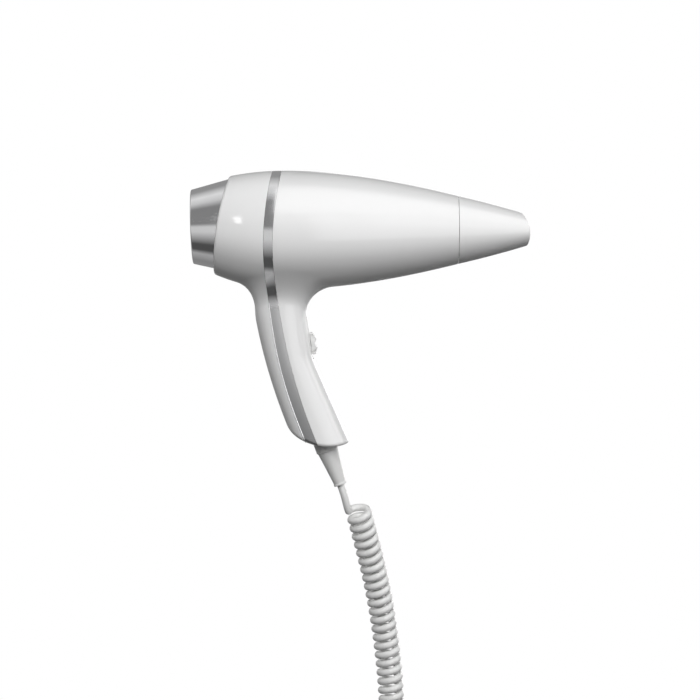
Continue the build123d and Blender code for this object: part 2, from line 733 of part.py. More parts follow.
def thermostat():
    """A bimetal strip on its base, riveted to the upper board."""
    seat = MICA_THICK / 2
    strip_y = seat + THERMOSTAT_BASE[1] - THERMOSTAT_STRIP[1] / 2
    base = Pos(THERMOSTAT_X, seat + THERMOSTAT_BASE[1] / 2, AXIS_Z + THERMOSTAT_UP) * Box(*THERMOSTAT_BASE)
    place = Pos(THERMOSTAT_X + THERMOSTAT_REACH, strip_y, AXIS_Z + THERMOSTAT_UP)
    return base + place * Box(*THERMOSTAT_STRIP)


def thermal_fuse():
    place = Pos(THERMOSTAT_X, -MICA_THICK / 2 - FUSE_R, AXIS_Z + THERMOSTAT_UP) * Rot(0, 90, 0)
    return place * (Cylinder(FUSE_R, FUSE_LENGTH) + Cylinder(FUSE_LEAD_R, FUSE_LEAD_LENGTH))


def terminal_block():
    """Joins the grip's wires to the motor and heater, under the duct."""
    height = TERMINAL_DEPTH + DUCT_R / 2
    place = Pos(0, 0, AXIS_Z - DUCT_R - TERMINAL_DEPTH + height / 2)
    block = place * Box(TERMINAL_LENGTH, TERMINAL_WIDTH, height)
    return block - disc(-TERMINAL_LENGTH, TERMINAL_LENGTH, DUCT_R)


# -------------------------------------------------------------- slide switch
# In this frame X is the way the knob slides on and Z is out of the grip.

BEZEL_FACE = BEZEL_THICK - BEZEL_DEPTH
TRAVEL_MIDDLE = SWITCH_TRAVEL / 2


def switch_box(length, width, z_low, z_high, x=0.0):
    return Pos(x, 0, (z_low + z_high) / 2) * Box(length, width, z_high - z_low)


def switch_slot(z_low, z_high):
    """The room that the slider's stem needs over its whole travel."""
    length = STEM_LENGTH + SWITCH_TRAVEL + 2 * SLIDE_GAP
    return switch_box(length, STEM_WIDTH + 2 * SLIDE_GAP, z_low, z_high, TRAVEL_MIDDLE)


def switch_pad():
    """A raised seat inside the grip's wall that the switch body is held against."""
    wall = switch_box(SWITCH_BODY_LENGTH, SWITCH_BODY_WIDTH, -SWITCH_PAD_DEPTH, -WALL / 2 - SLIDE_GAP,
                      TRAVEL_MIDDLE)
    return SWITCH * wall


def switch_room():
    """The pocket for the bezel and the window for the stem, cut into the grip's front."""
    pocket = switch_box(BEZEL_LENGTH, BEZEL_WIDTH, -BEZEL_DEPTH, SIDE, TRAVEL_MIDDLE)
    return SWITCH * (pocket + switch_slot(-SWITCH_PAD_DEPTH - 1, SIDE))


def switch_bezel():
    plate = switch_box(BEZEL_LENGTH, BEZEL_WIDTH, -BEZEL_DEPTH, BEZEL_FACE, TRAVEL_MIDDLE)
    return SWITCH * (plate - switch_slot(-BEZEL_DEPTH - 1, SIDE))


def switch_knob():
    """The sliding cap with its thumb ridges and the stem that drives the contacts."""
    face = BEZEL_FACE + SLIDE_GAP
    top = face + KNOB_HEIGHT
    knob = switch_box(KNOB_LENGTH, KNOB_WIDTH, face, top)
    corners = [e for e in knob.edges() if e.center().Z > top - SKIM]
    knob = fillet(corners, KNOB_ROUND)
    for index in range(KNOB_RIDGES):
        x = (index - (KNOB_RIDGES - 1) / 2) * RIDGE_SPACING
        ridge = Pos(x, 0, top - RIDGE_WIDTH / 2) * Rot(90, 0, 0)
        knob += ridge * Cylinder(RIDGE_WIDTH / 2 + RIDGE_HEIGHT, KNOB_WIDTH - 2 * KNOB_ROUND)
    knob -= switch_box(KNOB_LENGTH * 2, KNOB_WIDTH * 2, face - SIDE, face)
    knob += switch_box(STEM_LENGTH, STEM_WIDTH, SLIDE_GAP - SWITCH_PAD_DEPTH - SWITCH_SLOT_DEPTH, face)
    return SWITCH * knob


def switch_body():
    low = -SWITCH_PAD_DEPTH - SWITCH_BODY_DEPTH
    block = switch_box(SWITCH_BODY_LENGTH, SWITCH_BODY_WIDTH, low, -SWITCH_PAD_DEPTH, TRAVEL_MIDDLE)
    return SWITCH * (block - switch_slot(-SWITCH_PAD_DEPTH - SWITCH_SLOT_DEPTH, SIDE))


def capacitor():
    """A suppression capacitor soldered to the lower end of the switch."""
    x = TRAVEL_MIDDLE - (SWITCH_BODY_LENGTH + CAPACITOR_LENGTH) / 2
    low = -SWITCH_PAD_DEPTH - SWITCH_BODY_DEPTH
    return SWITCH * switch_box(CAPACITOR_LENGTH, SWITCH_BODY_WIDTH, low, low + CAPACITOR_DEPTH, x)


# ------------------------------------------------------- lead inside the grip
# In this frame Z runs down the lead, out of the grip's heel.

def relief_disc(z_low, z_high, radius):
    return Pos(0, 0, (z_low + z_high) / 2) * Cylinder(radius, z_high - z_low)


def relief_hole():
    return RELIEF * relief_disc(-2 * RELIEF_INSIDE, RELIEF_COLLAR, RELIEF_NECK_R)


def strain_relief(body, cavity):
    """A tapered sleeve with a collar outside the wall and a flange inside it."""
    taper_r = RELIEF_ROOT_R - RELIEF_STEP
    taper = Pos(0, 0, RELIEF_LENGTH / 2) * Cone(taper_r, RELIEF_TIP_R, RELIEF_LENGTH)
    outside = RELIEF * (taper + relief_disc(-RELIEF_COLLAR, RELIEF_COLLAR, RELIEF_ROOT_R)) - body
    flange = (RELIEF * relief_disc(-RELIEF_INSIDE, RELIEF_COLLAR, RELIEF_FLANGE_R)) & cavity
    return outside + flange + RELIEF * relief_disc(-RELIEF_INSIDE, RELIEF_COLLAR / 2, RELIEF_NECK_R)


def lead_end():
    """The end of the lead inside the grip, up to where its wires part."""
    return RELIEF * relief_disc(-RELIEF_INSIDE - LEAD_END, -RELIEF_INSIDE, CORD_D / 2)


def clamp_bar(x_low, x_high):
    middle = -RELIEF_INSIDE - CLAMP_START - CLAMP_LENGTH / 2
    bar = Pos((x_low + x_high) / 2, 0, middle) * Box(x_high - x_low, CLAMP_WIDTH, CLAMP_LENGTH)
    return RELIEF * bar - lead_end()


def clamp_screws():
    middle = -RELIEF_INSIDE - CLAMP_START - CLAMP_LENGTH / 2
    pair = []
    for side in (-1, 1):
        place = Pos(0, side * CLAMP_SCREW_Y, middle) * Rot(0, 90, 0)
        shank = place * Cylinder(CLAMP_SCREW_R, 2 * CLAMP_THICK)
        head = place * Pos(0, 0, -CLAMP_THICK - SCREW_HEAD / 2) * Cylinder(2 * CLAMP_SCREW_R, SCREW_HEAD)
        pair.append(RELIEF * (shank + head))
    return Compound(pair)


def wire(points):
    path = FilletPolyline(*points, radius=WIRE_BEND)
    start = Plane(origin=path @ 0, z_dir=path % 0)
    return sweep(start * Circle(WIRE_R), path)


def supply_wires():
    """Live and neutral, from the lead's end round the lower boss to the capacitor and switch."""
    pair = []
    depth = CAPACITOR_DEPTH / 2 - SWITCH_PAD_DEPTH - SWITCH_BODY_DEPTH
    end_x = TRAVEL_MIDDLE - SWITCH_BODY_LENGTH / 2 - CAPACITOR_LENGTH
    lead_top = -RELIEF_INSIDE - LEAD_END
    for side in (-1, 1):
        lead_y = side * CORD_D / 4
        aside = side * WIRE_Y
        pair.append(wire([RELIEF.from_local_coords((0, lead_y, lead_top)),
                          RELIEF.from_local_coords((0, lead_y, lead_top - WIRE_STUB)),
                          RELIEF.from_local_coords((0, aside, lead_top - 4 * WIRE_STUB)),
                          SWITCH.from_local_coords((end_x - 4 * WIRE_STUB, aside, depth)),
                          SWITCH.from_local_coords((end_x - WIRE_STUB, aside / 2, depth)),
                          SWITCH.from_local_coords((end_x, aside / 2, depth))]))
    return Compound(pair)


def motor_wires():
    """From the switch round the upper boss to the terminal block."""
    pair = []
    top = TRAVEL_MIDDLE + SWITCH_BODY_LENGTH / 2
    depth = -SWITCH_PAD_DEPTH - SWITCH_BODY_DEPTH / 2
    for side in (-1, 1):
        aside = side * WIRE_Y
        end = Vector(0, -aside, AXIS_Z - DUCT_R - TERMINAL_DEPTH)
        pair.append(wire([SWITCH.from_local_coords((top, aside / 2, depth)),
                          SWITCH.from_local_coords((top + WIRE_STUB, aside / 2, depth)),
                          SWITCH.from_local_coords((top + 2 * WIRE_STUB, aside, depth)),
                          end - Vector(0, 0, 2 * WIRE_STUB), end]))
    return Compound(pair)


def housing_screws():
    pair = []
    for z in SCREW_HEIGHTS:
        seat = grip_middle(z) - BOSS_FLOOR
        pair.append(along_x(seat - SCREW_HEAD, seat, z, SCREW_HEAD_R)
                    + along_x(seat, grip_middle(z) + SCREW_REACH, z, SCREW_SHANK_R))
    return Compound(pair)


# ------------------------------------------------------------ lead and plug

def route_tube(name, points, radius):
    """A round tube along straight runs joined by arcs that touch them."""
    corners = [Vector(*point) for point in points]
    runs = [b - a for a, b in zip(corners, corners[1:])]
    radii = []
    for first, second in zip(runs, runs[1:]):
        half_turn = math.radians(first.get_angle(second) / 2)
        radii.append(ARC_SHARE * min(first.length, second.length) / math.tan(half_turn))
    path = FilletPolyline(*corners, radius=radii)
    tube = sweep(Plane(origin=path @ 0, z_dir=path % 0) * Circle(radius), path)
    print(name, "length", round(path.length, 1), "radii", [round(value, 1) for value in radii],
          "volume share", round(tube.volume / (math.pi * radius**2 * path.length), 4))
    return tube


def rim_point(centre, direction):
    """A place on the curly part's end face, on the mean line of its turns, towards -X."""
    aside = Vector(direction.Z, 0, -direction.X).normalized()
    return centre + aside * COIL_MEAN_R


def cord_lead():
    start, after = Vector(*COIL_ROUTE[0]), Vector(*COIL_ROUTE[1])
    direction = (after - start).normalized()
    end = rim_point(start, direction)
    exit_point = RELIEF.from_local_coords((0, 0, RELIEF_LENGTH))
    turn = RELIEF.from_local_coords((0, 0, RELIEF_LENGTH + LEAD_RUN))
    return route_tube("cord_lead", [exit_point, turn, end - direction * LEAD_RUN, end], CORD_D / 2)


def cord_tail():
    before, last = Vector(*COIL_ROUTE[-2]), Vector(*COIL_ROUTE[-1])
    direction = (last - before).normalized()
    start = rim_point(last, direction)
    return route_tube("cord_tail", [start, start + direction * TAIL_RUN] + TAIL_ROUTE, CORD_D / 2)


def plug_frame():
    """Looks down the hanging plug, from the end of the tail."""
    return Plane(origin=TAIL_ROUTE[-1], x_dir=(1, 0, 0), z_dir=(0, 0, -1))


def plug_body():
    """A moulded two-pin plug that widens from its own strain relief to the pin face."""
    frame = plug_frame()
    sleeve = Pos(0, 0, PLUG_RELIEF / 2) * Cone(PLUG_RELIEF_TIP_R, PLUG_RELIEF_ROOT_R, PLUG_RELIEF)
    shoulder = frame.offset(PLUG_RELIEF)
    waist = frame.offset(PLUG_RELIEF + PLUG_WAIST)
    face = frame.offset(PLUG_RELIEF + PLUG_LENGTH)
    grip = loft([shoulder * RectangleRounded(PLUG_SHOULDER_WIDTH, PLUG_SHOULDER_THICK, PLUG_SHOULDER_ROUND),
                 waist * RectangleRounded(PLUG_WAIST_WIDTH, PLUG_WAIST_THICK, PLUG_WAIST_ROUND),
                 face * RectangleRounded(PLUG_WIDTH, PLUG_THICK, PLUG_FACE_ROUND)])
    edges = [e for e in grip.edges() if e.center().Z > shoulder.origin.Z - SKIM]
    return fillet(edges, PLUG_ROUND) + frame * sleeve


def plug_pins():
    frame = plug_frame().offset(PLUG_RELIEF + PLUG_LENGTH)
    pair = []
    for side in (-1, 1):
        pin = Pos(side * PIN_SPACING / 2, 0, PIN_LENGTH / 2) * Cylinder(PIN_D / 2, PIN_LENGTH)
        tip = [e for e in pin.edges() if e.center().Z > PIN_LENGTH - SKIM]
        pair.append(frame * fillet(tip, PIN_ROUND))
    return Compound(pair)


# ------------------------------------------------------------------ assembly

def build():
    body = outer_body()
    cavity = inner_body()
    rear_side = behind(band_edge(0, 0, 0))
    band_and_rear = behind(band_edge(BAND_WIDTH, STRIPE_WIDTH_MID, STRIPE_WIDTH_LOW))
    shell = body - cavity
    hoops = heater_rings()
    saddle = clamp_bar(0, 2 * BELLY_R) & body
    front = front_housing(shell, band_and_rear) + switch_pad() + saddle
    front = front - switch_room() - relief_hole() - clamp_screws()
    save(rear_housing(shell, rear_side), "rear_housing")
    save(front, "front_housing")
    save((shell & band_and_rear) - rear_side - relief_hole(), "trim_band")
    save(rear_cap(), "rear_cap")
    save(intake_grille(), "intake_grille")
    save(lint_filter(), "lint_filter")
    save(nozzle(), "nozzle")
    save(outlet_grille(), "outlet_grille")
    save(fan_duct(), "fan_duct")
    save(motor_can(), "motor_can")
    save(motor_end_cap(), "motor_end_cap")
    save(motor_magnets(), "motor_magnets")
    save(motor_bushes(), "motor_bushes")
    save(brushes(), "motor_brushes")
    save(armature_core(), "armature_core")
    save(armature_windings(), "armature_windings")
    save(commutator(), "commutator")
    save(motor_shaft(), "motor_shaft")
    save(impeller(), "impeller")
    save(rectifier_board(), "rectifier_board")
    save(mica_sleeve(), "mica_sleeve")
    save(hoops, "heater_coils")
    save(heater_frame(hoops), "heater_frame")
    save(thermostat(), "thermostat")
    save(thermal_fuse(), "thermal_fuse")
    save(terminal_block(), "terminal_block")
    save(switch_bezel(), "switch_bezel")
    save(switch_knob(), "switch_knob")
    save(switch_body(), "switch_body")
    save(capacitor(), "capacitor")
    save(strain_relief(body, cavity), "strain_relief")
    save(lead_end(), "lead_end")
    save(clamp_bar(-CLAMP_THICK, 0) - clamp_screws(), "cord_clamp")
    save(clamp_screws(), "clamp_screws")
    save(supply_wires(), "supply_wires")
    save(motor_wires(), "motor_wires")
    save(housing_screws(), "housing_screws")
    save(cord_lead(), "cord_lead")
    save(route_tube("cord_coil", COIL_ROUTE, COIL_D / 2), "cord_coil")
    save(cord_tail(), "cord_tail")
    save(plug_body(), "plug_body")
    save(plug_pins(), "plug_pins")


build()
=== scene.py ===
import bmesh
import bpy
import math
import numpy as np
from mathutils import Matrix, Vector


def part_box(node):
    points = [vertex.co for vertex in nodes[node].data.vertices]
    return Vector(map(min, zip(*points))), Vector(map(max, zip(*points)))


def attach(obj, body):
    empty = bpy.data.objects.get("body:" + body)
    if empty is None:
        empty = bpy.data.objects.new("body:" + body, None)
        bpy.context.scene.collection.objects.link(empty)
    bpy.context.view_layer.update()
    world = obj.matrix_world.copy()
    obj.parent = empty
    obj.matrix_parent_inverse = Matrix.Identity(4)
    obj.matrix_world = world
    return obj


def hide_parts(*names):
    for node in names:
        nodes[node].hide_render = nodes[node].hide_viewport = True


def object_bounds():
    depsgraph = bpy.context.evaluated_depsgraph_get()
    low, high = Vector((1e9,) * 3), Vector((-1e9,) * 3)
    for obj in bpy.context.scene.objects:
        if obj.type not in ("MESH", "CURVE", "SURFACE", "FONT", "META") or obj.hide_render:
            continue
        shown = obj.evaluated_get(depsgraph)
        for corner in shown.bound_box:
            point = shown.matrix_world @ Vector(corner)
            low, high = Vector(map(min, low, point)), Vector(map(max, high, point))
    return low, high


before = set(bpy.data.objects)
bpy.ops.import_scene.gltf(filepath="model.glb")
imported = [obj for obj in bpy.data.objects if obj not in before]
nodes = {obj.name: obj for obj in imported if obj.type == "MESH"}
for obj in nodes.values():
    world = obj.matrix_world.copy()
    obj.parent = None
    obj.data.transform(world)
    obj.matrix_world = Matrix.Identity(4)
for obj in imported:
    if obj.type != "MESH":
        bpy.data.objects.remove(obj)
cad_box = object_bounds()

# ------------------------------------ white shells
# The barrel and grip are one flowing form, injection-moulded in gloss white ABS 2.4 mm
# thick.  A trim band parts it into a rear and a front shell, which two screws inside the
# grip hold together.  Sizes up to the lead's section are in millimetres.

MM = 0.001
WALL = 2.4
AXIS_Z = sum(corner[2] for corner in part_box("motor_shaft")) / 2 / MM

# The barrel's outline: its widest place, its rear rim and the seam where the nozzle starts
SEAM_GAP = 0.3
SEAM_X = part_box("nozzle")[0][0] / MM - SEAM_GAP
SEAM_R, SEAM_SLOPE = 23.8, -0.25
BELLY_X, BELLY_R = -6.3, 41.3
RIM_X, RIM_R, RIM_SLOPE, RIM_RISE = -58.0, 31.9, -0.36, 2.46

# The grip's outline: a bowed rear, a front that bends at one height, and a squarish section
GRIP_TOP = 84.0
REAR_X, REAR_LEAN, REAR_BOW = -17.6, 0.288, 0.00142
FRONT_X, FRONT_LEANS, BEND_Z, BEND_ROUND = 13.5, (0.136, 0.445), 9.5, 4.0
HALF_WIDTH, FLARE = 15.5, 0.0006
SQUARENESS = 2.5

# The neck sweeps forward into the barrel; arcs in the side view (x, z, radius) cut lip and heel
NECK_ROUND, NECK_TIGHTER, SWEEP_Z, SWEEP = 16.0, 3.0, 34.0, 0.008
LIP_ARC, LIP_ROUND, LIP_DEPTH = (182.1, 65.7, 237.1), 1.3, 6.0
HEEL_ARC, HEEL_ROUND = (25.7, -4.7, 47.4), 2.5

# How fine the skins are, and sizes that reach past the whole dryer and past its sides
SKIN_GRAIN = 1.2
REACH = 260.0
SIDE = 80.0


def blend(share, start, end, end_slope):
    """A curve that starts level and arrives at its end with the given slope."""
    return (start * (1 - 3 * share**2 + 2 * share**3) + end * (3 * share**2 - 2 * share**3)
            + end_slope * (share**3 - share**2))


def barrel_radius(x):
    """The barrel's outline, which bulges at its belly."""
    front = np.clip((x - BELLY_X) / (SEAM_X - BELLY_X), 0, 1.1)
    rear = np.clip((BELLY_X - x) / (BELLY_X - RIM_X), 0, 1.1)
    ahead = blend(front, BELLY_R, SEAM_R, SEAM_SLOPE * (SEAM_X - BELLY_X))
    behind = blend(rear, BELLY_R, RIM_R, RIM_SLOPE * (BELLY_X - RIM_X))
    return np.where(x >= BELLY_X, ahead, behind)


def barrel_middle(x):
    """The height of the barrel's middle line, which rises a little towards the rear rim."""
    return AXIS_Z + RIM_RISE * (np.clip(BELLY_X - x, 0, None) / (BELLY_X - RIM_X)) ** 2


def grip_outline(z):
    """The grip's rear and front in the side view, and half its width."""
    drop = BEND_Z - z
    bent = (drop + np.sqrt(drop**2 + BEND_ROUND**2)) / 2
    sweep = SWEEP * np.maximum(z - SWEEP_Z, 0) ** 2
    rear = REAR_X - REAR_LEAN * z + REAR_BOW * z**2 + sweep
    front = FRONT_X + FRONT_LEANS[0] * drop + (FRONT_LEANS[1] - FRONT_LEANS[0]) * bent + sweep
    return rear, front, HALF_WIDTH + FLARE * drop**2


def form_gap(p, lip=0.0):
    """How far points lie outside the moulded form, with its neck, lip and heel rounded."""
    x, y, z = p[:, 0], p[:, 1], p[:, 2]
    barrel = np.hypot(y, z - barrel_middle(x)) - barrel_radius(x)
    rear, front, half_width = grip_outline(z)
    depth = (front - rear) / 2
    u = np.abs(x - (rear + front) / 2) / depth
    v = np.abs(y) / half_width
    sides, both = v**SQUARENESS, u**SQUARENESS + v**SQUARENESS
    share = np.maximum(both ** (1 / SQUARENESS), 1e-3)
    power = SQUARENESS - 1
    steep = share**-power * np.hypot(u**power / depth, v**power / half_width)
    grip = np.maximum((share - 1) / np.maximum(steep, 1e-3), z - GRIP_TOP)
    neck = NECK_ROUND - NECK_TIGHTER * sides / (both + 1e-3)
    near = np.maximum(neck - np.stack([barrel, grip]), 0)
    form = np.maximum(neck, np.minimum(barrel, grip)) - np.hypot(*near)
    past_lip = np.hypot(x - LIP_ARC[0], z - LIP_ARC[1]) - LIP_ARC[2] + lip
    past_heel = np.hypot(x - HEEL_ARC[0], z - HEEL_ARC[1]) - HEEL_ARC[2]
    past_heel = np.where(z < HEEL_ARC[1], past_heel, -HEEL_ARC[2])
    for beyond, rounding in ((past_lip, LIP_ROUND), (past_heel, HEEL_ROUND)):
        edge = np.maximum(rounding + np.stack([form, beyond]), 0)
        form = np.minimum(-rounding, np.maximum(form, beyond)) + np.hypot(*edge)
    return form


def form_slope(p, reach=0.05, **lip):
    """Which way is out of the form, and how steeply."""
    rises = [form_gap(p + step, **lip) - form_gap(p - step, **lip) for step in reach * np.eye(3)]
    return np.stack(rises, axis=1) / (2 * reach)


def places(mesh):
    """Where a mesh's vertices are, one row each."""
    found = np.empty(len(mesh.vertices) * 3)
    mesh.vertices.foreach_get("co", found)
    return found.reshape(-1, 3)


def settle(mesh, target, **lip):
    """Slides a skin's vertices on to the moulded form, or on to a surface inside it."""
    p = places(mesh)
    for _ in range(6):
        slope = form_slope(p, **lip)
        gap = (form_gap(p, **lip) - target) / np.maximum((slope**2).sum(axis=1), 0.2)
        p = p - slope * np.clip(gap, -4, 4)[:, None]
    mesh.vertices.foreach_set("co", p.ravel())
    mesh.update()


def thing(name, data):
    """A new object in the scene."""
    made = bpy.data.objects.new(name, data)
    bpy.context.scene.collection.objects.link(made)
    return made


def to_mesh(bm, name="working"):
    """Turns a finished bmesh into mesh data."""
    mesh = bpy.data.meshes.new(name)
    bm.to_mesh(mesh)
    bm.free()
    return mesh


def modified(mesh, kind, **settings):
    """The mesh that one modifier makes of a working mesh."""
    helper = thing("working", mesh)
    modifier = helper.modifiers.new("step", kind)
    for key, value in settings.items():
        setattr(modifier, key, value)
    graph = bpy.context.evaluated_depsgraph_get()
    made = bpy.data.meshes.new_from_object(helper.evaluated_get(graph))
    bpy.data.objects.remove(helper)
    return made


def cut(mesh, tool, operation="DIFFERENCE"):
    """Takes one closed mesh from another, or keeps what they share, or fuses them."""
    cutter = thing("cutter", tool)
    made = modified(mesh, "BOOLEAN", operation=operation, object=cutter, solver="MANIFOLD")
    bpy.data.objects.remove(cutter)
    return made


def slab(outline, width):
    """A closed block across the dryer's middle, whose (x, z) outline is drawn in the side view."""
    bm = bmesh.new()
    face = bm.faces.new([bm.verts.new((x, -width / 2, z)) for x, z in outline])
    moved = bmesh.ops.extrude_face_region(bm, geom=[face])["geom"]
    far = [v for v in moved if isinstance(v, bmesh.types.BMVert)]
    bmesh.ops.translate(bm, vec=(0, width, 0), verts=far)
    bmesh.ops.recalc_face_normals(bm, faces=bm.faces)
    return bm


def prism(outline):
    """A slab that is wider than the whole dryer, to cut with."""
    return to_mesh(slab(outline, 2 * SIDE))


def joined_rings(bm, rings):
    """Skins a row of rings of vertices and closes both ends."""
    for first, second in zip(rings, rings[1:]):
        edges = {e for ring in (first, second) for v in ring for e in v.link_edges
                 if set(e.verts) <= set(ring)}
        bmesh.ops.bridge_loops(bm, edges=list(edges))
    for end in (rings[0], rings[-1]):
        bmesh.ops.contextual_create(bm, geom=end)


def rough_form(grow):
    """Barrel and grip as two overlapping closed skins, fused into one even mesh."""
    bm = bmesh.new()
    barrel = []
    for x in np.linspace(RIM_X - 4, SEAM_X + 8, 40):
        place = Matrix.Translation((x, 0, barrel_middle(x))) @ Matrix.Rotation(math.pi / 2, 4, "Y")
        radius = float(barrel_radius(x)) + grow
        barrel.append(bmesh.ops.create_circle(bm, segments=64, radius=radius, matrix=place)["verts"])
    grip = []
    for z in np.linspace(-60, 80, 30):
        rear, front, half_width = grip_outline(z)
        size = Matrix.Diagonal(((front - rear) / 2 + grow, half_width + grow, 1, 1))
        place = Matrix.Translation(((rear + front) / 2, 0, z)) @ size
        grip.append(bmesh.ops.create_circle(bm, segments=64, radius=1, matrix=place)["verts"])
    joined_rings(bm, barrel)
    joined_rings(bm, grip)
    bmesh.ops.recalc_face_normals(bm, faces=bm.faces)
    return modified(to_mesh(bm), "REMESH", mode="VOXEL", voxel_size=SKIN_GRAIN)


def clamped_spline(points, first_slope, last_slope):
    """A smooth line (x against z) through three points with given slopes at its ends."""
    (z0, x0), (z1, x1), (z2, x2) = points
    upper, lower = z1 - z0, z2 - z1
    turn = 3 * ((x1 - x0) / upper**2 + (x2 - x1) / lower**2) - first_slope / upper - last_slope / lower
    middle = turn / (2 / upper + 2 / lower)
    line = []
    for start, start_x, span, end_x, slopes in ((z0, x0, upper, x1, (first_slope, middle)),
                                                (z1, x1, lower, x2, (middle, last_slope))):
        for share in np.linspace(0, 1, 24):
            x = blend(share, start_x, end_x, slopes[1] * span)
            x += slopes[0] * span * share * (1 - share) ** 2
            line.append((x, start + share * span))
    return line


# The band's rear line in the side view: an arc (x, z, radius) round the barrel down to the
# stripe's top, and from there through two points (x, z) to the heel
BAND_ARC = (227.0, 88.0, 246.7)
BAND_WIDTH, STRIPE_WIDTHS = 6.3, (7.8, 7.6)
STRIPE_TOP, STRIPE_MIDDLE, STRIPE_LOW = 58.0, (-8.9, 3.2), (13.6, -60.0)
HAIR_GAP = 0.12


def ring_line(z, offset=0.0):
    """Where the ring has its rear line at a height, or a line set forward of it."""
    return BAND_ARC[0] - math.sqrt((BAND_ARC[2] - offset) ** 2 - (z - BAND_ARC[1]) ** 2)


def stripe_line(ring_offset=0.0, middle_offset=0.0, low_offset=0.0):
    """The stripe's rear line as (x, z) points, or a line set forward of it."""
    lean = (STRIPE_TOP - BAND_ARC[1]) / (BAND_ARC[2] - ring_offset)
    return clamped_spline([(STRIPE_TOP, ring_line(STRIPE_TOP, ring_offset)),
                           (STRIPE_MIDDLE[1], STRIPE_MIDDLE[0] + middle_offset),
                           (STRIPE_LOW[1], STRIPE_LOW[0] + low_offset)],
                          lean, -FRONT_LEANS[1])


def behind(offsets, shift):
    """The room behind the trim band's rear line, or one set forward of it, and then shifted."""
    top = AXIS_Z + BELLY_R + 2 * WALL
    line = [(ring_line(z, offsets[0]), z) for z in np.linspace(top, STRIPE_TOP, 60)]
    line = [(x + shift, z) for x, z in line + stripe_line(*offsets)[1:]]
    return prism(line + [(-REACH, STRIPE_LOW[1]), (-REACH, top)])


def finished(name, mesh, material, body, slot, *replaced):
    """A piece in metres, riding on its body and standing for its CAD nodes."""
    mesh.transform(Matrix.Scale(MM, 4))
    mesh.name = name
    mesh.materials.clear()
    mesh.materials.append(material)
    made = thing(name, mesh)
    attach(made, body)
    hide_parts(*replaced)
    return made


# How nearly a face has to look the way the form does, to be shaded with it
AGREES = 2.5 / 3


def polish(mesh):
    """Shades the faces on the moulded form by its own slope, and leaves cut faces flat."""
    p = places(mesh)
    slope = form_slope(p)
    out = slope / np.linalg.norm(slope, axis=1)[:, None]
    on_form = np.abs(form_gap(p)) < 0.05
    normals = np.zeros((len(mesh.loops), 3))
    for face in mesh.polygons:
        corners = list(face.vertices)
        agreeing = out[corners].sum(axis=0) @ face.normal / len(corners) > AGREES
        smooth = on_form[corners].all() and agreeing
        face.use_smooth = bool(smooth)
        if smooth:
            normals[list(face.loop_indices)] = out[corners]
    mesh.normals_split_custom_set(normals)


def leaning(x, z, lean):
    """A frame in the side view: its Z leaves the object along a line that leans from the level."""
    up, along = math.sin(lean), math.cos(lean)
    return Matrix(((-up, 0, along, x), (0, -1, 0, 0), (along, 0, up, z), (0, 0, 0, 1)))


def rod(place, low, high, low_r, high_r, segments=96):
    """A closed cone or cylinder along the Z of a frame."""
    bm = bmesh.new()
    middle = place @ Matrix.Translation((0, 0, (low + high) / 2))
    bmesh.ops.create_cone(bm, cap_ends=True, segments=segments, radius1=low_r, radius2=high_r,
                          depth=high - low, matrix=middle)
    return to_mesh(bm)


def block(place, length, width, low, high, x=0.0):
    """A closed box in a frame, from one height to another, moved along the frame's X."""
    bm = bmesh.new()
    size = Matrix.Diagonal((length, width, high - low, 1))
    middle = place @ Matrix.Translation((x, 0, (low + high) / 2))
    bmesh.ops.create_cube(bm, size=1, matrix=middle @ size)
    return to_mesh(bm)


# Two skins are drawn a little off their surfaces and settle on them; the inner one is taken
# out, except in the nose, which stays solid for the spigot
AIR = Matrix.Translation((0, 0, AXIS_Z)) @ Matrix.Rotation(math.pi / 2, 4, "Y")
SPARE, NOSE = 0.6, 4.0
outside = rough_form(SPARE)
settle(outside, 0.0)
inside = rough_form(-WALL - SPARE)
settle(inside, -WALL, lip=LIP_DEPTH - WALL)
nose = prism([(SEAM_X - NOSE, -REACH), (REACH, -REACH), (REACH, REACH), (SEAM_X - NOSE, REACH)])
shell = cut(outside, cut(inside, nose))
shell = cut(shell, rod(AIR, SEAM_X, REACH, SIDE, SIDE))

# The intake cap's room, a cone on a line that dips towards the rear
CAP_Z, CAP_END_X, CAP_IN_X, CAP_END_R, CAP_SLOPE = AXIS_Z + 2.2, -70.4, -38.0, 25.8, 0.25
CAP_LEAN = math.radians(-1.8)
CAP_DIP = (Matrix.Translation((CAP_END_X, 0, CAP_Z)) @ Matrix.Rotation(CAP_LEAN, 4, "Y")
           @ Matrix.Translation((-CAP_END_X, 0, -CAP_Z)))
cap_frame = CAP_DIP @ Matrix.Translation((0, 0, CAP_Z)) @ Matrix.Rotation(math.pi / 2, 4, "Y")
cap_in_r = CAP_END_R + CAP_SLOPE * (CAP_IN_X - CAP_END_X)
rear = cut(shell.copy(), behind((0, 0, 0), -HAIR_GAP), "INTERSECT")
rear = cut(rear, rod(cap_frame, CAP_END_X, CAP_IN_X, CAP_END_R, cap_in_r, 128))

# Two recessed screw wells from the back of the grip
SCREWS, WELL_R, SHANK_R, BOSS_R, BOSS_FLOOR = (40.0, -14.0), 2.8, 1.4, 4.0, 3.0
for height in SCREWS:
    level = Matrix.Translation((0, 0, height)) @ Matrix.Rotation(math.pi / 2, 4, "Y")
    back, front_x, _ = grip_outline(height)
    middle = (back + front_x) / 2
    rear = cut(rear, rod(level, back + WALL / 2, middle, BOSS_R, BOSS_R, 40), "UNION")
    rear = cut(rear, rod(level, back - 2 * WALL, middle - BOSS_FLOOR, WELL_R, WELL_R, 40))
    rear = cut(rear, rod(level, back, middle + BOSS_FLOOR, SHANK_R, SHANK_R, 40))

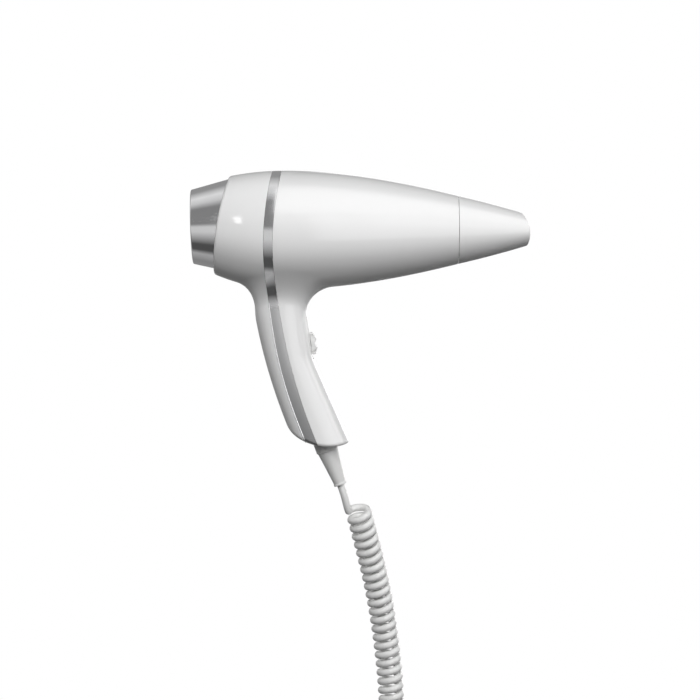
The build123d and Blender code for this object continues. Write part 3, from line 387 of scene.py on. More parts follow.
# The front shell ends in the spigot that the nozzle turns on
SPIGOT_R, SPIGOT_WALL, SPIGOT_LENGTH = 19.6, 1.8, 6.0
bore_r = SPIGOT_R - SPIGOT_WALL
front = cut(shell.copy(), behind((BAND_WIDTH,) + STRIPE_WIDTHS, HAIR_GAP))
front = cut(front, rod(AIR, SEAM_X - NOSE, SEAM_X + SPIGOT_LENGTH, SPIGOT_R, SPIGOT_R), "UNION")
front = cut(front, rod(AIR, SEAM_X - 2 * NOSE, REACH, bore_r, bore_r))

# Its pocket for the switch's bezel, with the slot for the slide's stem, and the lead's hole
SWITCH_Z, TRAVEL, BEZEL = 19.0, 8.0, (30.0, 11.0, 1.2)
SWITCH = leaning(float(grip_outline(SWITCH_Z)[1]), SWITCH_Z, math.atan(FRONT_LEANS[0]))
STEM, STEM_ROOM, SLOT_DEPTH = (5.0, 3.0), 0.6, 6.0
slot_length, slot_width = STEM[0] + TRAVEL + STEM_ROOM, STEM[1] + STEM_ROOM
front = cut(front, block(SWITCH, BEZEL[0], BEZEL[1], -BEZEL[2], SIDE, TRAVEL / 2))
front = cut(front, block(SWITCH, slot_length, slot_width, -SLOT_DEPTH, SIDE, TRAVEL / 2))
RELIEF = leaning(22.6, -52.6, math.radians(20.5 - 90))
NECK_R, HOLE_FROM, HOLE_TO = 6.5, -14.0, 4.0
lead_hole = rod(RELIEF, HOLE_FROM, HOLE_TO, NECK_R, NECK_R, 64)
front = cut(front, lead_hole)

band = cut(shell.copy(), behind((BAND_WIDTH,) + STRIPE_WIDTHS, 0), "INTERSECT")
band = cut(cut(band, behind((0, 0, 0), 0)), lead_hole)
for mesh in (rear, front, band):
    polish(mesh)


def linear(colour):
    """A written sRGB colour as the linear one that shaders take."""
    parts = [int(colour[i:i + 2], 16) / 255 for i in (0, 2, 4)]
    return [part / 12.92 if part <= 0.04045 else ((part + 0.055) / 1.055) ** 2.4 for part in parts] + [1]


def add(tree, kind, settings=None, links=None):
    """Adds a shader node, with its own settings or socket values, and its links."""
    made = tree.nodes.new("ShaderNode" + kind)
    for name, value in (settings or {}).items():
        if isinstance(name, int) or name in made.inputs:
            made.inputs[name].default_value = value
        else:
            setattr(made, name, value)
    for name, source in (links or {}).items():
        tree.links.new(source, made.inputs[name])
    return made


def new_material(name):
    """A material with an empty tree, and its output and object coordinates."""
    material = bpy.data.materials.new(name)
    material.use_nodes = True
    tree = material.node_tree
    tree.nodes.clear()
    return material, tree, add(tree, "OutputMaterial"), add(tree, "TexCoord").outputs["Object"]


def surfaced(name, colour, rough, patch, gloss, wave, grain, tint, shine):
    """A material whose tint and gloss drift in patches, over shallow waves and a fine grain.

    A patch is a size in mm and a detail, wave and grain are a size and a depth in mm, and
    gloss is the least and the greatest share of the roughness."""
    material, tree, output, place = new_material(name)
    drift = add(tree, "TexNoise", {"Scale": 1 / (patch[0] * MM), "Detail": patch[1]},
                {"Vector": place}).outputs["Fac"]
    base = linear(colour)
    shaded = [part * (1 - tint) for part in base[:3]] + [1]
    paint = add(tree, "Mix", {"data_type": "RGBA", 6: base, 7: shaded}, {0: drift}).outputs[2]
    roughness = add(tree, "MapRange", {"To Min": rough * gloss[0], "To Max": rough * gloss[1]},
                    {"Value": drift}).outputs["Result"]
    links = {"Base Color": paint, "Roughness": roughness}
    for (size, depth), detail in ((wave, 1), (grain, 2)):
        if size:
            height = add(tree, "TexNoise", {"Scale": 1 / (size * MM), "Detail": detail},
                         {"Vector": place}).outputs["Fac"]
            below = {"Normal": links["Normal"]} if "Normal" in links else {}
            links["Normal"] = add(tree, "Bump", {"Strength": 1, "Distance": depth * MM},
                                  {"Height": height, **below}).outputs["Normal"]
    shader = add(tree, "BsdfPrincipled", shine, links).outputs["BSDF"]
    tree.links.new(shader, output.inputs["Surface"])
    return material


def moulded(name, colour, rough, wave_mm, wave_depth, grain_mm=0.0, grain_depth=0.0, tint=0.04):
    """Moulded plastic: a slight drift of tint and gloss, moulding waves and a fine grain."""
    return surfaced(name, colour, rough, (14, 3), (0.85, 1.2), (wave_mm, wave_depth),
                    (grain_mm, grain_depth), tint, {"IOR": 1.5})


# Gloss ABS: the polished mould gives a clear reflection, with a faint waviness where the
# wall cooled.
gloss_abs = moulded("gloss_white_abs", "F2F2F2", 0.08, 9, 0.004, tint=0.02)
finished("rear_shell_skin", rear, gloss_abs, "housing", "white_gloss", "rear_housing")
finished("front_shell_skin", front, gloss_abs, "housing", "white_gloss", "front_housing")

# --------------------------------------- trim band
# One plated ABS moulding: a ring round the barrel that runs on down both sides of the grip
# as a stripe.  It lies flush with the shells, which clamp its edges.


def plated(name, colour, rough, wave_mm, wave_depth):
    """Bright metal: a faint unevenness bends its reflections and hazes them in places."""
    return surfaced(name, colour, rough, (6, 4), (0.7, 1.3), (wave_mm, wave_depth), (0, 0), 0.06,
                    {"Metallic": 1})


# Bright chromium over ABS: a mirror with a soft edge, because plating never lies quite flat.
chrome = plated("bright_chrome_plate", "DADADB", 0.09, 8, 0.002)
# The band is bright on the barrel.  Down the grip its mould was bead-blasted, so there the
# plating is satin and rougher from the neck on.  From there down to the heel its colour is
# painted darker too: a painted shade for the dim reflections that the stripe shows there.
BLASTED_FROM, BLASTED_TO, BLASTED_ROUGH = 54.0, 44.0, 0.2
# Painted shade: the heights in mm between which the plating's colour is darkened, and stops of (place up
# that span, share of the colour kept)
PAINTED_SHADE_LOW, PAINTED_SHADE_TOP, PAINTED_SHADE_STOPS = -50.0, 60.0, ((0.0, 0.39), (0.86, 0.68), (0.93, 1.0))
part_satin_painted_shade = plated("part_satin_chrome_plate", "DADADB", 0.09, 8, 0.004)
tree = part_satin_painted_shade.node_tree
shader = tree.nodes["Principled BSDF"]
place = tree.nodes["Texture Coordinate"].outputs["Object"]
height = add(tree, "SeparateXYZ", {}, {0: place}).outputs["Z"]
rise = add(tree, "MapRange", {"From Min": PAINTED_SHADE_LOW * MM, "From Max": PAINTED_SHADE_TOP * MM},
           {"Value": height}).outputs["Result"]
# This ramp by height multiplies the plating's colour: a painted shade that darkens the stripe towards the
# heel
painted_shade_ramp = add(tree, "ValToRGB", {}, {0: rise})
elements = painted_shade_ramp.color_ramp.elements
elements.new(PAINTED_SHADE_STOPS[-1][0])
for element, (position, level) in zip(elements, PAINTED_SHADE_STOPS):
    element.position = position
    element.color = (level, level, level, 1)
tone = shader.inputs["Base Color"].links[0].from_socket
painted_shade_tone = add(tree, "Mix", {"data_type": "RGBA", "blend_type": "MULTIPLY", 0: 1.0},
             {6: tone, 7: painted_shade_ramp.outputs[0]}).outputs[2]
tree.links.new(painted_shade_tone, shader.inputs["Base Color"])
gloss = shader.inputs["Roughness"].links[0].from_socket
blasted = add(tree, "MapRange", {"From Min": BLASTED_TO * MM, "From Max": BLASTED_FROM * MM,
                                 "To Min": BLASTED_ROUGH, "To Max": 0.0},
              {"Value": height}).outputs["Result"]
rougher = add(tree, "Math", {"operation": "ADD"}, {0: gloss, 1: blasted}).outputs[0]
tree.links.new(rougher, shader.inputs["Roughness"])
finished("trim_band_skin", band, part_satin_painted_shade, "housing", "plated_trim", "trim_band")

# A fine bright bead finishes the stripe's rear edge on both sides, and stands a little proud.
# It runs down the straight of the grip only.
BEAD_R, BEAD_RISE, BEAD_LOW, BEAD_TOP = 0.33, 0.42, -52.0, 50.0
bead = bpy.data.curves.new("bead", "CURVE")
bead.dimensions = "3D"
bead.bevel_depth = BEAD_R
bead.bevel_resolution = 3
bead.use_fill_caps = True
for hand in (-1, 1):
    path = []
    for x, z in stripe_line():
        # Halving finds how far out the bead's middle line runs; past the heel there is no form
        span = [0.0, SIDE]
        for _ in range(40):
            middle = sum(span) / 2
            beyond = form_gap(np.array([[x, middle, z]]))[0] > BEAD_RISE - BEAD_R
            span[int(beyond)] = middle
        if BEAD_LOW < z < BEAD_TOP and span[0] > 1:
            path.append((x, hand * span[0], z, 1))
    spline = bead.splines.new("POLY")
    spline.points.add(len(path) - 1)
    spline.points.foreach_set("co", np.array(path).ravel())
helper = thing("working", bead)
graph = bpy.context.evaluated_depsgraph_get()
bead_mesh = bpy.data.meshes.new_from_object(helper.evaluated_get(graph))
bpy.data.objects.remove(helper)
for face in bead_mesh.polygons:
    face.use_smooth = True
finished("trim_band_bead", bead_mesh, chrome, "housing", "plated_trim")

# -------------------------------------- intake cap
# A plated cone pressed into the rear shell, with a rounded rim round the air intake.  The
# grille behind it is black nylon, and the lint screen is a woven wire disc in a hoop.

CAP_ROUND, CAP_WALL, INTAKE_R = 0.8, 2.0, 22.3


def turned(profile, steps=128):
    """A turning round the X axis, from (x, radius) points.

    The points run from the axis back to it, or go right round and close."""
    bm = bmesh.new()
    line = [bm.verts.new((x, 0, radius)) for x, radius in profile]
    closing = [] if profile[0][1] == 0 else [(line[-1], line[0])]
    edges = [bm.edges.new(pair) for pair in list(zip(line, line[1:])) + closing]
    bmesh.ops.spin(bm, geom=line + edges, cent=(0, 0, 0), axis=(1, 0, 0), angle=math.tau,
                   steps=steps, use_merge=True, use_duplicate=False)
    bmesh.ops.remove_doubles(bm, verts=bm.verts, dist=1e-4)
    bmesh.ops.recalc_face_normals(bm, faces=bm.faces)
    return bm


def rounded(bm, width, segments=4, over=30):
    """Rounds every edge that turns by more than so many degrees, and shades all of it smooth."""
    sharp = [e for e in bm.edges if len(e.link_faces) == 2 and math.degrees(e.calc_face_angle(0)) > over]
    bmesh.ops.bevel(bm, geom=sharp, offset=width, offset_type="OFFSET", affect="EDGES",
                    segments=segments, profile=0.5, material=-1, clamp_overlap=True)
    for face in bm.faces:
        face.smooth = True
    return bm


def dress(material, *names):
    """Gives a material to carried-over pieces, whose shape is right as it is."""
    for name in names:
        for place in nodes[name].material_slots:
            place.material = material


def cone_r(x, inset=0.0):
    """The cap's outer radius at a place along it, or one set in from it."""
    return CAP_END_R + CAP_SLOPE * (x - CAP_END_X) - inset


seat_x = CAP_END_X + CAP_WALL
profile = [(CAP_END_X, INTAKE_R), (CAP_END_X, cone_r(CAP_END_X)), (CAP_IN_X, cone_r(CAP_IN_X)),
           (CAP_IN_X, cone_r(CAP_IN_X, CAP_WALL)), (seat_x, cone_r(seat_x, CAP_WALL)), (seat_x, INTAKE_R)]
cap = rounded(turned(profile), CAP_ROUND, 6)
bmesh.ops.transform(cap, matrix=CAP_DIP @ Matrix.Translation((0, 0, CAP_Z)), verts=cap.verts)
finished("rear_cap_skin", to_mesh(cap), chrome, "housing", "plated_trim", "rear_cap")


def wired(name, colour, pitch_mm, directions, wobble, dark, height_mm, shine):
    """Fine wires side by side, or woven where they run two ways, with dark lines of painted shade between.
    """
    material, tree, output, place = new_material(name)
    wires = []
    for direction in directions:
        settings = {"bands_direction": direction, "Distortion": wobble,
                    "Scale": math.pi / (10 * pitch_mm * MM)}
        wires.append(add(tree, "TexWave", settings, {"Vector": place}).outputs["Fac"])
    ridges = add(tree, "Math", {"operation": "MAXIMUM"}, {0: wires[0], 1: wires[-1]}).outputs[0]
    base = linear(colour)
    painted_groove_shade = [part * dark for part in base[:3]] + [1]
    # The troughs between the wires are painted darker: painted shade where the grooves lie in shadow
    paint = add(tree, "Mix", {"data_type": "RGBA", 6: painted_groove_shade, 7: base}, {0: ridges}).outputs[2]
    surface = add(tree, "Bump", {"Strength": 1, "Distance": height_mm * MM},
                  {"Height": ridges}).outputs["Normal"]
    shader = add(tree, "BsdfPrincipled", shine, {"Base Color": paint, "Normal": surface}).outputs["BSDF"]
    tree.links.new(shader, output.inputs["Surface"])
    return material


# Black nylon: spark-finished in the mould, so it is matt with a fine even grain.
black_nylon = moulded("matt_black_nylon", "202021", 0.48, 3, 0.02, 0.5, 0.02)
# Stainless wire cloth: the weave shows as a fine dark grid of painted shade between the wires, with glints
# on its wires.
wire_cloth = wired("stainless_wire_cloth", "8A8B8C", 0.9, ("Y", "Z"), 0, 0.12, 0.1,
                   {"Metallic": 0.8, "Roughness": 0.42})
dress(black_nylon, "intake_grille")
dress(wire_cloth, "lint_filter")

# ------------------------------------------ nozzle
# Gloss white ABS, pushed over the spigot with a running fit so that it turns.  It narrows
# from round to a slightly wide oval, and its mouth is cut to an arc in the side view.

NOZZLE_X, TIP_X = SEAM_X + SEAM_GAP, 164.7
NOZZLE_WALL, NOZZLE_FIT = 2.0, 0.08
MOUTH_HALF_HEIGHT, MOUTH_HALF_WIDTH, SWELL = 10.2, 13.0, 0.5
TIP_ARC_R, TIP_ARC_DROP = 22.3, 2.45


def oval(x, mouth):
    """Half the nozzle's height or width at a place along it."""
    share = (x - NOZZLE_X) / (TIP_X + 1 - NOZZLE_X)
    start = SEAM_R + SEAM_SLOPE * (NOZZLE_X - SEAM_X)
    return start + (mouth - start) * share + 4 * SWELL * share * (1 - share)


# A stand-in is turned first, whose radii tell the outer skin (1), the inner (-1) and the part
# that fits the spigot (0); then each vertex moves to its own place
spigot_end = SEAM_X + SPIGOT_LENGTH + SEAM_GAP
stand_in_r, skin_step = 30, 3
outer = [(x, 1) for x in np.linspace(NOZZLE_X, TIP_X, 24)]
inner = [(x, -1) for x in np.linspace(TIP_X, spigot_end, 20)]
skins = outer + inner + [(spigot_end, 0), (NOZZLE_X, 0)]
bm = turned([(x, stand_in_r + skin_step * skin) for x, skin in skins], 96)
for v in bm.verts:
    reach = math.hypot(v.co.y, v.co.z)
    skin, across, up = round((reach - stand_in_r) / skin_step), v.co.y / reach, v.co.z / reach
    if skin == 0:
        v.co = (v.co.x, (SPIGOT_R + NOZZLE_FIT) * across, AXIS_Z + (SPIGOT_R + NOZZLE_FIT) * up)
        continue
    inset, first = (NOZZLE_WALL, spigot_end) if skin < 0 else (0.0, NOZZLE_X)
    end = TIP_X
    for _ in range(8):
        height = (oval(end, MOUTH_HALF_HEIGHT) - inset) * up + TIP_ARC_DROP
        end = TIP_X - TIP_ARC_R + math.sqrt(TIP_ARC_R**2 - height**2)
    x = first + (v.co.x - first) * (end - first) / (TIP_X - first)
    half_width, half_height = (oval(x, mouth) - inset for mouth in (MOUTH_HALF_WIDTH, MOUTH_HALF_HEIGHT))
    v.co = (x, half_width * across, AXIS_Z + half_height * up)
bmesh.ops.recalc_face_normals(bm, faces=bm.faces)
finished("nozzle_skin", to_mesh(rounded(bm, 0.4, 3, 40)), gloss_abs, "nozzle", "white_gloss", "nozzle")

# ---------------------------------- outlet and fan
# A black nylon grille in the spigot keeps fingers off the heater.  Behind it the fan and its
# duct are grey glass-filled nylon; seven guide vanes carry the motor's cradle.

# Glass-filled nylon: short fibres at the surface give it a dull, slightly streaked grey.
duct_nylon = moulded("grey_glass_nylon", "4A4B4D", 0.55, 5, 0.03, 0.4, 0.03, 0.10)
fan_nylon = moulded("dark_fan_nylon", "2E2F31", 0.36, 6, 0.02, 0.7, 0.01)
dress(black_nylon, "outlet_grille")
dress(duct_nylon, "fan_duct")
dress(fan_nylon, "impeller")

# ------------------------------------------- motor
# A small direct-current motor: a plated steel can with two ferrite magnets, a wound core on
# a steel shaft in sintered bushes, and carbon brushes fed from a rectifier board.

# Zinc-plated steel is bright but cloudy; ferrite and carbon are dull and nearly black.
zinc_steel = plated("zinc_plated_steel", "B4B5B8", 0.32, 3, 0.01)
ferrite = moulded("dull_ferrite", "2B2A2A", 0.62, 2, 0.02, 0.3, 0.02, 0.15)
bronze = plated("sintered_bronze", "B08A5A", 0.45, 1, 0.02)
# Enamelled wire lies turn by turn: fine bright ridges with dark lines of painted shade between.
copper = wired("enamelled_copper", "B5623A", 0.4, ("X",), 0.4, 0.3, 0.08,
               {"Metallic": 0.9, "Roughness": 0.3})
carbon = moulded("pressed_carbon", "1A1A1B", 0.5, 2, 0.01, 0.2, 0.01)
board_green = moulded("green_board_lacquer", "2C5B36", 0.3, 6, 0.01, 0.8, 0.01, 0.1)
dress(zinc_steel, "motor_can", "armature_core", "motor_shaft")
dress(black_nylon, "motor_end_cap")
dress(ferrite, "motor_magnets")
dress(bronze, "motor_bushes")
dress(carbon, "motor_brushes")
dress(copper, "armature_windings", "commutator")
dress(board_green, "rectifier_board")

# ------------------------------------------ heater
# Turns of resistance wire on two crossed mica boards, inside a rolled mica sleeve.  A
# bimetal thermostat and a thermal fuse sit on the boards, and a block joins the wires.

# Mica splits in leaves, which show as pale pearly flakes; the wire is blued by its own heat.
mica = moulded("leafy_mica_board", "C3BAA0", 0.35, 4, 0.05, 1.5, 0.04, 0.22)
heat_wire = plated("blued_resistance_wire", "6F6A66", 0.4, 2, 0.02)
steatite = moulded("unglazed_steatite", "DAD6CB", 0.6, 5, 0.02, 0.4, 0.02, 0.06)
tin = plated("tinned_fuse_case", "C2C3C6", 0.28, 2, 0.01)
dress(mica, "mica_sleeve", "heater_frame")
dress(heat_wire, "heater_coils")
dress(steatite, "thermostat", "terminal_block")
dress(tin, "thermal_fuse")

# ------------------------------------ slide switch
# A thumb slide with two ridges, moulded in the shells' white ABS, runs in a white bezel that
# is let into the front of the grip.  Its stem drives the contacts in the body behind.

KNOB = (15.0, 9.0)
KNOB_LOW, KNOB_TOP, END_DROP = 0.1, 3.2, 1.2
RIDGE, RIDGE_HALF, RIDGE_SPACING = 1.1, 2.4, 6.0
STEM_LOW, STEM_TOP = -7.7, 0.6


def knob_top(x):
    """The slide's top line: level, with two thumb ridges and rounded ends."""
    top = KNOB_TOP - END_DROP * abs(2 * x / KNOB[0]) ** 10
    for centre in (-RIDGE_SPACING / 2, RIDGE_SPACING / 2):
        share = min(abs(x - centre) / RIDGE_HALF, 1)
        top += RIDGE * math.cos(share * math.pi / 2) ** 2
    return top


outline = [(x, knob_top(x)) for x in np.linspace(-KNOB[0] / 2, KNOB[0] / 2, 61)]
outline += [(KNOB[0] / 2, KNOB_LOW), (-KNOB[0] / 2, KNOB_LOW)]
slide = rounded(slab(outline, KNOB[1]), 0.6, 4, 50)
bmesh.ops.transform(slide, matrix=SWITCH, verts=slide.verts)
knob = cut(to_mesh(slide), block(SWITCH, STEM[0], STEM[1], STEM_LOW, STEM_TOP), "UNION")

# Each side has a shallow finger dish by the upper ridge and a slanted slit by the lower one:
# the place along the slide, length, height from and to, and depth
DISH_X, DISH_LENGTH, DISH_LOW, DISH_TOP, DISH_DEPTH = 4.2, 4.4, 0.6, 3.9, 1.0
SLIT_X, SLIT_Z, SLIT_LENGTH, SLIT_REACH, SLIT_DEPTH = -4.9, 2.2, 0.9, 2.8, 1.6
SLIT_LEAN = Matrix.Rotation(math.radians(32), 4, "Y")
TOOL = 4.0
for hand in (-1, 1):
    dish_y, slit_y = (hand * (KNOB[1] / 2 + TOOL / 2 - depth) for depth in (DISH_DEPTH, SLIT_DEPTH))
    dish = SWITCH @ Matrix.Translation((DISH_X, dish_y, 0))
    knob = cut(knob, block(dish, DISH_LENGTH, TOOL, DISH_LOW, DISH_TOP))
    slit = SWITCH @ Matrix.Translation((SLIT_X, slit_y, SLIT_Z)) @ SLIT_LEAN
    knob = cut(knob, block(slit, SLIT_LENGTH, TOOL, -SLIT_REACH, SLIT_REACH))


def creased(mesh, over=35):
    """Smooth shading that breaks at edges which turn by more than so many degrees."""
    bm = bmesh.new()
    bm.from_mesh(mesh)
    for face in bm.faces:
        face.smooth = True
    for edge in bm.edges:
        edge.smooth = len(edge.link_faces) == 2 and math.degrees(edge.calc_face_angle(0)) < over
    bm.to_mesh(mesh)
    bm.free()
    return mesh


# The slide's ABS is spark-finished for the thumb, so it is duller than the shells.
satin_abs = moulded("satin_white_abs", "E9E9E8", 0.34, 4, 0.01, 0.4, 0.008, 0.03)
finished("switch_slide_knob", creased(knob), satin_abs, "switch", "white_moulding", "switch_knob")
dress(satin_abs, "switch_bezel")
dress(black_nylon, "switch_body")
# A dipped film capacitor: glossy green lacquer.
dress(board_green, "capacitor")

# ---------------------------- clamp, wires, screws
# Inside the grip a white nylon bar and two screws hold the lead; blue PVC wires run on to
# the switch and to the terminal block.  Two zinc-plated screws draw the shells together.

white_nylon = moulded("white_clamp_nylon", "E2E1DC", 0.45, 5, 0.02, 0.6, 0.01)
blue_pvc = moulded("blue_wire_pvc", "2F4F96", 0.35, 2, 0.01)
dress(white_nylon, "cord_clamp")
dress(blue_pvc, "supply_wires", "motor_wires")
dress(zinc_steel, "clamp_screws", "housing_screws")

# ----------------------------------- strain relief
# A tapered sleeve of soft white PVC with a collar against the heel and a lip round the lead,
# moulded on to it.  It gives way along its length, so that the lead never kinks.

COLLAR_R, COLLAR, ROOT_R, TIP_R, RELIEF_LENGTH = 8.0, 4.0, 7.4, 4.3, 29.8
LIP, LIP_LENGTH, LIP_RAMP, TAPER_BOW = 0.3, 1.2, 0.2, 0.9
NECK_LOW, NECK_HIGH, NECK_FIT = -7.0, 3.0, 0.1
taper_end = RELIEF_LENGTH - LIP_LENGTH - LIP_RAMP
profile = [(-COLLAR, 0), (-COLLAR, COLLAR_R), (COLLAR, COLLAR_R)]
for share in np.linspace(0, 1, 16):
    profile.append((COLLAR + share * (taper_end - COLLAR), ROOT_R + (TIP_R - ROOT_R) * share**TAPER_BOW))
profile += [(RELIEF_LENGTH - LIP_LENGTH, TIP_R + LIP), (RELIEF_LENGTH, TIP_R + LIP), (RELIEF_LENGTH, 0)]
sleeve = rounded(turned(profile, 64), 0.35, 3, 40)
to_lean = RELIEF @ Matrix.Rotation(-math.pi / 2, 4, "Y")
bmesh.ops.transform(sleeve, matrix=to_lean, verts=sleeve.verts)
sleeve = cut(to_mesh(sleeve), outside)
neck_r = NECK_R - NECK_FIT
sleeve = cut(sleeve, rod(RELIEF, NECK_LOW, NECK_HIGH, neck_r, neck_r, 64), "UNION")
# Soft PVC: a dull white with a faint ripple, which picks up a little dust.
soft_pvc = moulded("soft_white_pvc", "E6E6E5", 0.36, 3, 0.02, 0.3, 0.006, 0.05)
finished("strain_relief_sleeve", creased(sleeve), soft_pvc, "housing", "cord_white", "strain_relief")
dress(soft_pvc, "lead_end")

# -------------------------------------- mains lead
# A curly two-core lead in white PVC, 5.2 mm thick, wound on a rod and set by heat.  It leaves
# the sleeve, curls at once and hangs down to its plug.  Sizes here are in metres.

CORD_D, LEAD_LENGTH = 0.0052, 1.63
EXIT = Vector((0.03304, 0.0, -0.08051))
# Points for the straight start, for the middle line of the coil, and for the tail
LEAD = [(0.03531, 0.0, -0.0866), (0.03716, 0.00118, -0.09432)]
COIL_ROUTE = [(0.0454, 0.0031, -0.0986), (0.0550, 0.0149, -0.1356), (0.0626, 0.0241, -0.1738),
              (0.0677, 0.0300, -0.2130), (0.0705, 0.0332, -0.2528), (0.0717, 0.0344, -0.2928),
              (0.0721, 0.0347, -0.3328)]
TAIL = [(0.0653, 0.0348, -0.3424), (0.0672, 0.0351, -0.3518), (0.0672, 0.0351, -0.3613)]
COIL_MEAN_R, TURNS, POINTS_PER_TURN = 0.0069, 36, 16


def smooth_curve(name, points):
    """A curve of one open NURBS spline with these control points."""
    curve = bpy.data.curves.new(name, "CURVE")
    curve.dimensions = "3D"
    spline = curve.splines.new("NURBS")
    spline.points.add(len(points) - 1)
    for control, point in zip(spline.points, points):
        control.co = (*point, 1)
    spline.order_u = 3
    spline.use_endpoint_u = True
    curve.resolution_u = 3
    return curve


def read_line(points):
    """The line that a smooth curve follows, as points close together."""
    guide = smooth_curve("guide", points)
    guide.resolution_u = 24
    helper = bpy.data.objects.new("guide", guide)
    mesh = bpy.data.meshes.new_from_object(helper)
    line = [v.co.copy() for v in mesh.vertices]
    bpy.data.objects.remove(helper)
    return line


line = read_line(COIL_ROUTE)
run = [0.0]
for a, b in zip(line, line[1:]):
    run.append(run[-1] + (b - a).length)
helix = []
# The curve cuts inside its control points, so they stand out a little further
grow = 1 / math.cos(math.pi / POINTS_PER_TURN) ** 0.5
for index in range(TURNS * POINTS_PER_TURN + 1):
    along = run[-1] * index / (TURNS * POINTS_PER_TURN)
    place = min(max(i for i, length in enumerate(run) if length <= along + 1e-9), len(line) - 2)
    ahead = (line[place + 1] - line[place]).normalized()
    centre = line[place] + ahead * (along - run[place])
    left = Vector((ahead.z, 0, -ahead.x)).normalized()
    near = ahead.cross(left)
    turn = math.tau * index / POINTS_PER_TURN
    helix.append(centre + (left * math.cos(turn) + near * math.sin(turn)) * COIL_MEAN_R * grow)
curve = smooth_curve("curly_lead", [EXIT] + LEAD + helix + TAIL)
curve.bevel_depth = CORD_D / 2
curve.bevel_resolution = 4
curve.use_fill_caps = True
lead = thing("curly_lead", curve)

# The lead's PVC is stiffer and a little glossier than the sleeve's.
lead_pvc = moulded("white_lead_pvc", "EFEFEE", 0.27, 3, 0.012, tint=0.04)
lead.data.materials.append(lead_pvc)
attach(lead, "housing")
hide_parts("cord_lead", "cord_coil", "cord_tail")

# -------------------------------------------- plug
# A two-pin plug moulded on to the lead in white PVC: a grooved relief, a waist with grip
# ribs and an oval face.  Its nickel-plated brass pins are 4.8 mm thick.  In millimetres.

PLUG = leaning(*(TAIL[-1][axis] / MM for axis in (0, 2)), -math.pi / 2)
PLUG.translation.y = TAIL[-1][1] / MM
PLUG = PLUG @ Matrix.Rotation(math.pi, 4, "Z")


def squarish(bm, place, low, half_width, half_thick, power, segments=72):
    """A ring of vertices between an oval and a rectangle, level in a frame at height low."""
    ring = bmesh.ops.create_circle(bm, segments=segments, radius=1)["verts"]
    for v in ring:
        x, y = (math.copysign(abs(part) ** (2 / power), part) for part in (v.co.x, v.co.y))
        v.co = place @ Vector((half_width * x, half_thick * y, low))
    return ring


# Sections up the plug: height, half the width, half the thickness, and how square they are
sections = [(28.0, 8.2, 6.3, 2.4), (28.5, 9.2, 7.3, 2.4), (30.0, 9.8, 7.8, 2.5), (34.0, 10.9, 8.4, 2.6)]
RIBS, RIBS_START, RIB_SPACING = 5, 36.0, 3.0
for rib in range(RIBS):
    start = RIBS_START + RIB_SPACING * rib
    swell = 11.4 + 0.42 * (start - RIBS_START)
    thick = 8.6 + 0.13 * (start - RIBS_START)
    sections += [(start, swell, thick, 2.7), (start + 0.5, swell + 0.5, thick + 0.7, 2.7),
                 (start + 1.7, swell + 0.7, thick + 0.7, 2.7), (start + 2.2, swell + 0.4, thick + 0.1, 2.7)]
sections += [(52.5, 17.0, 11.9, 2.8), (54.0, 17.4, 12.6, 2.9), (63.0, 17.6, 12.9, 3.0),
             (63.7, 17.4, 12.7, 3.0), (64.0, 16.8, 12.1, 3.0)]
bm = bmesh.new()
joined_rings(bm, [squarish(bm, PLUG, *section) for section in sections])
bmesh.ops.recalc_face_normals(bm, faces=bm.faces)
plug_head = to_mesh(bm)

# Its relief is a turned neck with grooves, so that it bends
GROOVES, GROOVES_START, GROOVE_SPACING, GROOVE_DEPTH = 6, 3.0, 4.0, 0.9
profile = [(0, 0), (0, 3.6), (0.6, 4.0)]
for groove in range(GROOVES):
    start, radius = GROOVES_START + GROOVE_SPACING * groove, 4.3 + 0.33 * groove
    profile += [(start, radius), (start + 0.4, radius - GROOVE_DEPTH),
                (start + 1.4, radius - GROOVE_DEPTH), (start + 1.8, radius)]
profile += [(27.0, 6.4), (29.0, 6.5), (29.0, 0)]
neck = turned(profile, 48)
bmesh.ops.transform(neck, matrix=PLUG @ Matrix.Rotation(-math.pi / 2, 4, "Y"), verts=neck.verts)
plug_mesh = creased(cut(plug_head, to_mesh(neck), "UNION"), 40)
plug = finished("moulded_plug", plug_mesh, soft_pvc, "housing", "cord_white", "plug_body")

# Nickel over brass: bright with a warm cast.
nickel = plated("nickel_plated_brass", "CFCBC2", 0.2, 4, 0.004)
dress(nickel, "plug_pins")

# ------------------------------------------ studio
# A pale floor below the hanging plug, soft lamps that light the pieces, and a room that only
# reflections see: strips and softboxes of light along the dryer, between dark walls.  In metres.

FLOOR_R, FLOOR_X, FLOOR_DROP = 1.0, 0.04, 0.005
FLOOR_FADE = (0.65, 0.98)
bm = bmesh.new()
bmesh.ops.create_circle(bm, cap_ends=True, segments=96, radius=FLOOR_R,
                        matrix=Matrix.Translation((FLOOR_X, 0, cad_box[0][2] - FLOOR_DROP)))
floor = thing("floor", to_mesh(bm, "floor"))
floor.visible_glossy = False
floor.visible_diffuse = False
# Matt pale paper, which fades into the white room towards its edge
material, tree, output, place = new_material("pale_floor")
seen = add(tree, "LightPath").outputs["Is Camera Ray"]
away = add(tree, "VectorMath", {"operation": "LENGTH"}, {0: place}).outputs["Value"]
edge = add(tree, "MapRange", {"From Min": FLOOR_FADE[0], "From Max": FLOOR_FADE[1],
                              "To Min": 0.35, "To Max": 1.0},
           {"Value": away}).outputs["Result"]
glow = add(tree, "Math", {"operation": "MULTIPLY"}, {0: edge, 1: seen}).outputs[0]
paint = add(tree, "BsdfDiffuse", {"Color": linear("F4F4F4")}).outputs[0]
light = add(tree, "Emission", {"Strength": 1.0}).outputs[0]
mixed = add(tree, "MixShader", {}, {0: glow, 1: paint, 2: light}).outputs[0]
tree.links.new(mixed, output.inputs["Surface"])
floor.data.materials.append(material)

world = bpy.data.worlds.new("studio")
bpy.context.scene.world = world
world.use_nodes = True
tree = world.node_tree
tree.nodes.clear()

